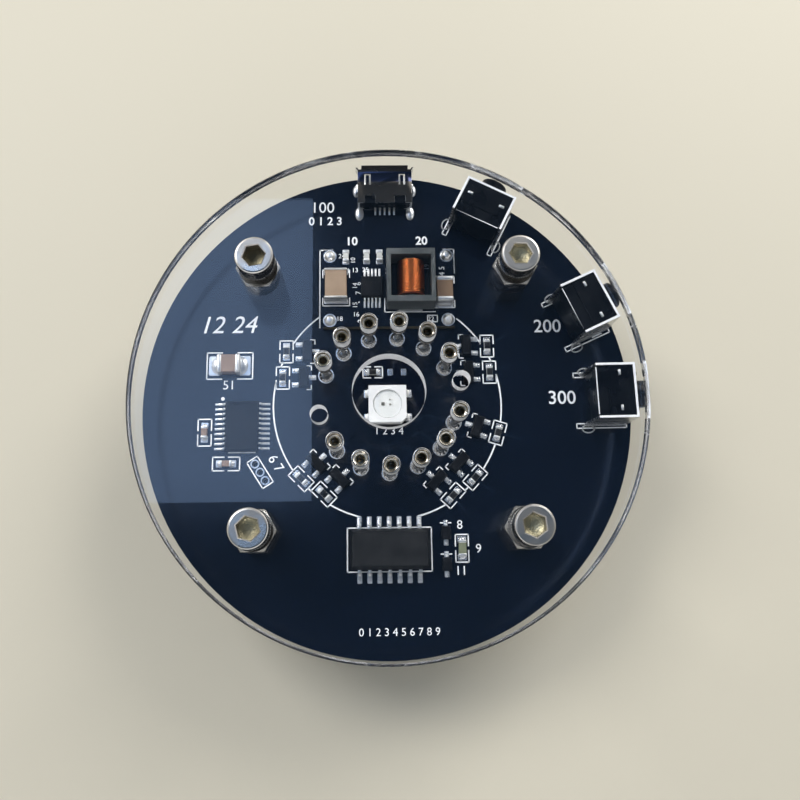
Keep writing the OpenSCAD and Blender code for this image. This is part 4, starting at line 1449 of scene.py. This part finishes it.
@dataclass
class MouldedChips:
    """Moulded chips with a dimple at the first lead, their lead frames, and the parts beside them."""

    dimple: float = 0.35

    def body(self, slot: str, node: str, name: str, finish: Finish, bevel: float,
             marks: Sequence[Point]) -> None:
        """Dresses a chip's body and presses round dimples into its top.

        Args:
            slot: Material slot name, passed on to shown.
            node: CAD node of the body.
            name: Name of the piece.
            finish: Its finish.
            bevel: Width of its soft edges.
            marks: Places of the dimples about the chip's middle.
        """
        piece = from_node(node, name, finish, bevel)
        _, high, middle = box_mm(node)
        for x, y in marks:
            cut(piece, primitive("cylinder", "dimple", (middle.x + x, middle.y + y, high.z), vertices=36,
                                 radius=self.dimple, depth=0.12))
        shown(smoothed(piece), slot, node)

    def build(self) -> None:
        """Builds the controller, the clock chip and the small moulded parts."""
        self.body("black_moulding", "controller_chip", "controller_epoxy_body", BLACK_EPOXY, 0.05,
                  [(-1.3, 2.5)])
        self.body("grey_moulding", "clock_chip", "clock_epoxy_body", GREY_EPOXY, 0.09,
                  [(-3.9, -1.1), (3.9, 0.0)])
        for node, name, bevel in (
            ("controller_leads", "controller_lead_frame", 0.02),
            ("clock_chip_leads", "clock_lead_frame", 0.03),
            ("diode_leads", "diode_lead_frame", 0.015),
            ("transistor_leads", "transistor_lead_frame", 0.02),
        ):
            node_shown("tinned", node, name, TIN, bevel)
        for node, name in (("backup_diodes", "diode_epoxy_bodies"),
                           ("cathode_transistors", "transistor_epoxy_bodies")):
            node_shown("black_moulding", node, name, BLACK_EPOXY, 0.04)
        for parts in (
            ChipParts("supply_capacitor", "supply_ceramic_block", "brown_ceramic", ROSE_CERAMIC, 0.23),
            ChipParts("clock_capacitor", "clock_ceramic_block", "olive_ceramic", OLIVE_CERAMIC, 0.2),
            ChipParts("controller_small_parts", "controller_chip_parts", "tan_ceramic", ROSE_CERAMIC, 0.22),
            ChipParts("cathode_resistors", "cathode_chip_resistors", "resistor_black", PALE_CERAMIC, 0.2,
                      plate=RESISTOR_GLASS),
            ChipParts("lamp_resistor", "lamp_chip_resistor", "resistor_black", PALE_CERAMIC, 0.2,
                      plate=RESISTOR_GLASS),
        ):
            parts.build()


# ---------------------------------------------------------------- main board


@dataclass
class MainBoard:
    """The lacquered board with its tracks, ink, pads and solder."""

    ring_radius: float = 15.0
    resistor_box: Point = (3.0, 1.75)
    body_half: Point = (0.95, 1.6)
    corner: float = 0.55
    track_width: float = 0.25
    header_at: Point = (-16.6, -8.7)
    header_yaw: float = math.radians(-57.5)
    header_pitch: float = 1.27
    labels: tuple[tuple[str, Point, float, float, float, float], ...] = (
        ("100", (-8.6, 27.7), 1.55, 0, 0, 0), ("0 1 2 3", (-8.2, 25.7), 1.15, 0, 0, 0.03),
        ("12 24", (-21.3, 10.9), 2.35, 0, 0.25, 0), ("51", (-20.9, 2.75), 1.2, 0, 0, 0),
        ("6 7", (-14.6, -7.6), 1.25, -1.0, 0, 0), ("10", (-4.6, 22.75), 1.15, 0, 0, 0.04),
        ("20", (5.0, 22.75), 1.15, 0, 0, 0.04), ("200", (21.7, 10.4), 1.75, 0, 0, 0.02),
        ("300", (23.1, 0.6), 1.75, 0, 0, 0.02), ("8", (9.0, -15.7), 1.1, 0, 0, 0),
        ("9", (11.3, -18.7), 1.1, 0, 0, 0), ("11", (9.0, -21.4), 1.1, 0, 0, 0),
        ("1 2 3 4", (0.15, -3.55), 0.95, 0, 0, 0), ("0 1 2 3 4 5 6 7 8 9", (1.1, -28.7), 0.95, 0, 0, 0))

    def __post_init__(self) -> None:
        """Finds the cathode stages, the sockets and the header's holes, which the methods share."""
        resistors = [part.spot for part in islands("cathode_resistors")]
        self.stages: list[tuple[Point, float, Point]] = []
        for x, y in (part.spot for part in islands("cathode_transistors")):
            near = min(resistors, key=lambda r: math.hypot(r[0] - x, r[1] - y))
            self.stages.append(((x, y), math.atan2(y - near[1], x - near[0]), near))
        self.sockets = [shell.spot for shell in islands("socket_shells")]
        cos, sin = math.cos(self.header_yaw), math.sin(self.header_yaw)
        self.header = [(self.header_at[0] + i * self.header_pitch * cos,
                        self.header_at[1] + i * self.header_pitch * sin) for i in (-1, 0, 1)]

    def ring_is_bare(self, x: float, y: float) -> bool:
        """Whether the printed ring is broken at a place.

        Args:
            x: Place along X.
            y: Place along Y.

        Returns:
            True inside a resistor's printed box, under the converter and at the clock chip.
        """
        for _, yaw, (rx, ry) in self.stages:
            along, across = turned_point(x - rx, y - ry, -yaw)
            if abs(along) < self.resistor_box[1] / 2 and abs(across) < self.resistor_box[0] / 2:
                return True
        low, high, _ = box_mm("converter_board")
        if low.x - 0.5 < x < high.x + 0.2 and y > low.y:
            return True
        low, high, _ = box_mm("clock_chip")
        return low.x - 0.3 < x < high.x + 0.3 and y < high.y + 1.6

    def ink_stages(self, ink: Printing) -> None:
        """Prints the boxes and corners round the transistors and resistors.

        Args:
            ink: The board's ink.
        """
        hx, hy = self.body_half
        for place, yaw, near in self.stages:
            ink.box(near, self.resistor_box, yaw + QUARTER, 0.7)
            for side in (-1, 1):
                ink.path([(hx - self.corner, side * hy), (hx, side * hy), (hx, side * (hy - self.corner))],
                         place, yaw)

    def ink_chips(self, ink: Printing) -> None:
        """Prints the outlines round the chips and the parts beside them.

        Args:
            ink: The board's ink.
        """
        low, high, mid = box_mm("controller_chip")
        for x0, x1, y in ((-1.5, -0.6, high.y - 0.1), (0.6, 1.5, high.y - 0.1), (-1.7, 1.7, low.y - 0.15)):
            ink.path([(mid.x + x0, y), (mid.x + x1, y)])
        ink.dot((low.x - 0.45, high.y + 0.45), 0.24)
        low, high, mid = box_mm("clock_chip")
        ink.box((mid.x, mid.y), (10.7, 5.45))
        ink.path([(low.x + 0.5, low.y + 0.4), (low.x + 0.5, high.y - 0.4)])
        for node, size in (("controller_small_parts", (3.5, 1.75)), ("clock_capacitor", (3.43, 1.65)),
                           ("lamp_resistor", (2.6, 1.5))):
            for part in islands(node):
                ink.box(part.spot, size, part.long_yaw(), 0.6)
        ink.box(islands("supply_capacitor")[0].spot, (6.05, 3.57), 0.0, 2.1)
        for part in islands("backup_diodes"):
            ink.path([(-0.65, 1.25), (0.65, 1.25)], part.spot)

    def ink_switches(self, ink: Printing) -> None:
        """Prints a box, a line and an oval at each switch's legs.

        Args:
            ink: The board's ink.
        """
        turns = [math.tau * i / 20 for i in range(21)]
        for yaw in Stack.switch_yaws:
            centre = turned_point(Stack.switch_face, 0, yaw)
            for side in (-1, 1):
                ink.path([(0.2, side * 3.1), (-6.35, side * 3.1), (-6.35, side * 3.7), (0.2, side * 3.7),
                          (0.2, side * 3.1)], centre, yaw)
                ink.path([(-2.25, side * 3.4), (-0.95, side * 3.4)], centre, yaw)
                oval = [(0.79 * math.cos(a) - 4.87, 0.5 * math.sin(a) + side * 3.8) for a in turns]
                ink.path(oval, centre, yaw)

    def printing(self) -> BpyObject:
        """Prints the board's whole top.

        Returns:
            The ink, as one piece.
        """
        ink = Printing("board_printing", Stack.board_top)
        ink.ring(self.ring_radius, 0.2, self.ring_is_bare, 360)
        self.ink_stages(ink)
        self.ink_chips(ink)
        self.ink_switches(ink)
        for label in self.labels:
            ink.number(*label)
        low, high, _ = box_mm("converter_board")
        ink.path([(low.x + 1.2, high.y + 0.4), (low.x - 0.5, high.y + 0.4), (low.x - 0.5, low.y + 0.25)])
        ink.path([(high.x - 1.2, high.y + 0.4), (high.x + 0.25, high.y + 0.4), (high.x + 0.25, high.y - 3)])
        ink.box(self.header_at, (3.95, 1.6), self.header_yaw)
        return ink.done()

    def solder(self) -> BpyObject:
        """Lays the pads, rings and solder on the board's top.

        Returns:
            The solder, as one piece.
        """
        work = SolderWork("board_solder", Stack.board_top)
        for node, beyond, wider in (("controller_leads", 0.4, 0.06), ("clock_chip_leads", 0.45, 0.2),
                                    ("transistor_leads", 0.35, 0.25), ("diode_leads", 0.3, 0.25),
                                    ("lamp_leads", 0.3, 0.15)):
            work.lead_feet(node, beyond, wider)
        for node, beyond, rise in (("supply_capacitor", 1.2, 0.5), ("clock_capacitor", 0.45, 0.35),
                                   ("controller_small_parts", 0.5, 0.35), ("cathode_resistors", 0.4, 0.3),
                                   ("lamp_resistor", 0.35, 0.3)):
            work.part_ends(node, beyond, rise)
        for place in self.sockets:
            work.add_ring(place, 1.06, 0.42)
        for place in self.header:
            work.add_ring(place, 0.58, 0.4)
        for x in (0.45, 2.25):
            work.add_pad((x, 4.55), (0.7, 0.9))
        low, high, _ = box_mm("inlet_shell")
        for side in (-1, 1):
            work.add_drop((side * 3.95, high.y - 2.6), (0.9, 1.7, 0.35))
            work.add_drop((side * 3.5, low.y - 0.6), (1.2, 2.0, 0.3))
        return work.done()

    def tracks(self) -> BpyObject:
        """Raises the copper tracks that show under the lacquer.

        Returns:
            The tracks, as one piece.
        """
        ink = Printing("board_tracks", Stack.board_top, self.track_width, 0.012)
        for (x, y), yaw, (rx, ry) in self.stages:
            tip = (x + 1.3 * math.cos(yaw), y + 1.3 * math.sin(yaw))
            ink.path([tip, min(self.sockets, key=lambda s: math.hypot(s[0] - tip[0], s[1] - tip[1]))])
            out = math.hypot(rx, ry)
            ink.path([(rx, ry), (rx * (out + 3.2) / out, ry * (out + 3.2) / out)])
        for i, (x, y) in enumerate(self.sockets):
            reach = 0.55 + 0.05 * (i % 3)
            ink.path([(x * 0.93, y * 0.93), (x * reach, y * reach), (x * reach - 0.8, y * reach - 0.8)])
        for i in range(7):
            ink.path([(-14.6, -1.0 - 0.62 * i), (-12.2 - 0.3 * i, -1.6 - 0.8 * i)])
        ink.path([(-3.0, 27.0), (-3.0, 24.0), (-6.5, 21.8)])
        ink.path([(-17.6, 5.4), (-12.0, 5.4), (-9.4, 9.0)])
        return ink.done(TRACK_LACQUER)

    def underside(self) -> BpyObject:
        """Sets the solder joints under the board.

        Returns:
            The solder, as one piece.
        """
        work = SolderWork("underside_solder", Stack.board_low, -1.0)
        for post in islands("converter_pins"):
            work.add_cone(post.spot, 0.95, 0.7)
        for yaw in Stack.switch_yaws:
            for side in (-1, 1):
                work.add_drop(turned_point(Stack.switch_face - 4.85, side * 3.35, yaw), (2.2, 1.3, 0.6), yaw)
                work.add_drop(turned_point(Stack.switch_face - 2.05, side * 2.25, yaw), (1.3, 1.5, 0.6), yaw)
        for side in (-1, 1):
            work.add_drop((side * 3.85, box_mm("inlet_shell")[1].y - 2.6), (0.9, 2.0, 0.5))
        for clip in islands("cell_clip"):
            for side, edge in ((-1, clip.low.x), (1, clip.high.x)):
                work.add_pad((edge - side * 0.6, clip.centre.y), (2.0, 5.2))
        return work.done()

    def header_shade_discs(self) -> BpyObject:
        """Closes the header's holes at their lower end with dark lacquer discs, as painted shade where the
        pale floor would show through.

        Returns:
            The discs, as one piece.
        """
        shade_discs = Printing("header_shade_discs", Stack.board_low)
        for place in self.header:
            shade_discs.dot(place, 0.38)
        return shade_discs.done(LACQUER)

    def build(self) -> None:
        """Builds the board."""
        board = dress(from_node("main_board", "lacquered_main_board", LACQUER), LACQUER, LAMINATE)
        rim = (Stack.board_radius - 0.4) * MM
        paint_where(board, 1, lambda face: abs(face.normal.z) < 0.5
                    and math.hypot(face.center.x, face.center.y) > rim)
        shown(board, "solder_mask", "main_board")
        for make, slot in ((self.printing, "solder_mask"), (self.solder, "solder"),
                           (self.tracks, "solder_mask"), (self.underside, "solder"),
                           (self.header_shade_discs, "solder_mask")):
            shown(make(), slot)


@dataclass
class BackupCell:
    """Coin cell under the board and the strap that holds it."""

    corner: float = 0.08

    def build(self) -> None:
        """Dresses the cell and its strap."""
        node_shown("tin_sheet", "coin_cell", "coin_cell_can", TIN_SHEET, self.corner, 3)
        node_shown("tin_sheet", "cell_clip", "cell_strap", TIN_SHEET, self.corner, 3)


# ---------------------------------------------------------------- studio


@dataclass
class Studio:
    """Pale floor, soft light and the camera."""

    camera_place: tuple[float, float, float] = (-2.73, -22.02, 138.45)
    camera_turn: tuple[float, float, float] = (14.429, -0.832, -0.757)
    lens: float = 42.276
    shift: Point = (0.02193, -0.08054)
    floor_colour: Colour = (0.77, 0.715, 0.575)
    horizon: Colour = (0.74, 0.75, 0.77)
    zenith: Colour = (0.034, 0.060, 0.096)
    horizon_at: float = 0.35
    zenith_at: float = 0.85

    @staticmethod
    def placed(name: str, data: bpy.types.ID, place: Sequence[float]) -> BpyObject:
        """Puts a lamp or camera into the scene.

        Args:
            name: Its name.
            data: Its data.
            place: Its place, in millimetres.

        Returns:
            The object.
        """
        thing = bpy.data.objects.new(name, data)
        bpy.context.scene.collection.objects.link(thing)
        thing.location = Vector(place) * MM
        return thing

    def camera(self) -> None:
        """Sets the camera at the photograph's viewing angle."""
        data = bpy.data.cameras.new("camera")
        data.sensor_width = 36.0
        data.lens = self.lens
        data.shift_x, data.shift_y = self.shift
        data.clip_start = 0.005
        camera = self.placed("camera", data, self.camera_place)
        camera.rotation_euler = [math.radians(a) for a in self.camera_turn]
        bpy.context.scene.camera = camera

    def lamp(self, name: str, place: Sequence[float], size: Point, glow: float, colour: Colour,
             down: bool = False) -> None:
        """Adds a soft lamp that faces the clock, or straight down.

        Args:
            name: Name of the lamp.
            place: Its middle, in millimetres.
            size: Its sides, in millimetres.
            glow: Its radiance.
            colour: Its colour.
            down: Whether it faces straight down.
        """
        data = bpy.data.lights.new(name, "AREA")
        data.shape = "RECTANGLE"
        data.size, data.size_y = (side * MM for side in size)
        data.energy = glow * math.pi * data.size * data.size_y
        data.color = colour
        lamp = self.placed(name, data, place)
        if not down:
            lamp.rotation_euler = Vector(place).to_track_quat("Z", "Y").to_euler()

    def world(self) -> None:
        """Lights the room: pale walls, a dark ceiling, and white where the camera sees it."""
        world = bpy.data.worlds.new("studio")
        bpy.context.scene.world = world
        world.use_nodes = True
        wiring = Wiring(world.node_tree)
        room = world.node_tree.nodes["Background"]
        direction = wiring.node("TexCoord", {}).outputs["Generated"]
        height = wiring.node("SeparateXYZ", {0: direction}).outputs[2]
        ramp = wiring.node("ValToRGB", {"Fac": height})
        ramp.color_ramp.interpolation = "EASE"
        looks = ((self.horizon_at, self.horizon), (self.zenith_at, self.zenith))
        for stop, (position, colour) in zip(ramp.color_ramp.elements, looks):
            stop.position, stop.color = position, (*colour, 1)
        wiring.feed(room.inputs["Color"], ramp.outputs["Color"])
        white = wiring.node("Background", {"Color": (1, 1, 1, 1)}).outputs[0]
        seen = wiring.node("LightPath", {}).outputs["Is Camera Ray"]
        choose = wiring.node("MixShader", {"Fac": seen, 1: room.outputs[0], 2: white})
        wiring.feed(world.node_tree.nodes["World Output"].inputs["Surface"], choose.outputs[0])

    def floor(self) -> None:
        """Lays the pale floor that the screw heads stand on."""
        bpy.ops.mesh.primitive_plane_add(size=3.0)
        floor = newest("floor")
        surface = bpy.data.materials.new("pale_floor")
        surface.use_nodes = True
        shader = surface.node_tree.nodes["Principled BSDF"]
        shader.inputs["Base Color"].default_value = (*self.floor_colour, 1)
        shader.inputs["Roughness"].default_value = 0.6
        floor.data.materials.append(surface)

    def build(self) -> None:
        """Builds the studio."""
        bpy.context.scene.view_settings.view_transform = "Standard"
        self.camera()
        self.floor()
        self.world()
        self.lamp("key_lamp", (-350, 320, 500), (300, 300), 7.0, (1.0, 0.99, 0.97))
        self.lamp("fill_lamp", (300, 380, 300), (300, 300), 6.6, (1.0, 0.98, 0.95))
        self.lamp("front_lamp", (0, -560, 380), (420, 420), 0.35, (1.0, 0.98, 0.95))
        self.lamp("window_panel", (-115, 124, 500), (155, 200), 1.3, (0.41, 0.61, 1.0), True)


def main() -> None:
    """Builds the studio and every sub-assembly, in order."""
    logging.basicConfig(level=logging.INFO, format="%(name)s: %(message)s")
    for assembly in (Studio, ClearDiscs, CapScrews, Standoffs, TubeSockets, Lamp, SupplyInlet, PushSwitches,
                     StepUpConverter, MouldedChips, MainBoard, BackupCell):
        assembly().build()


if __name__ == "__main__":
    main()
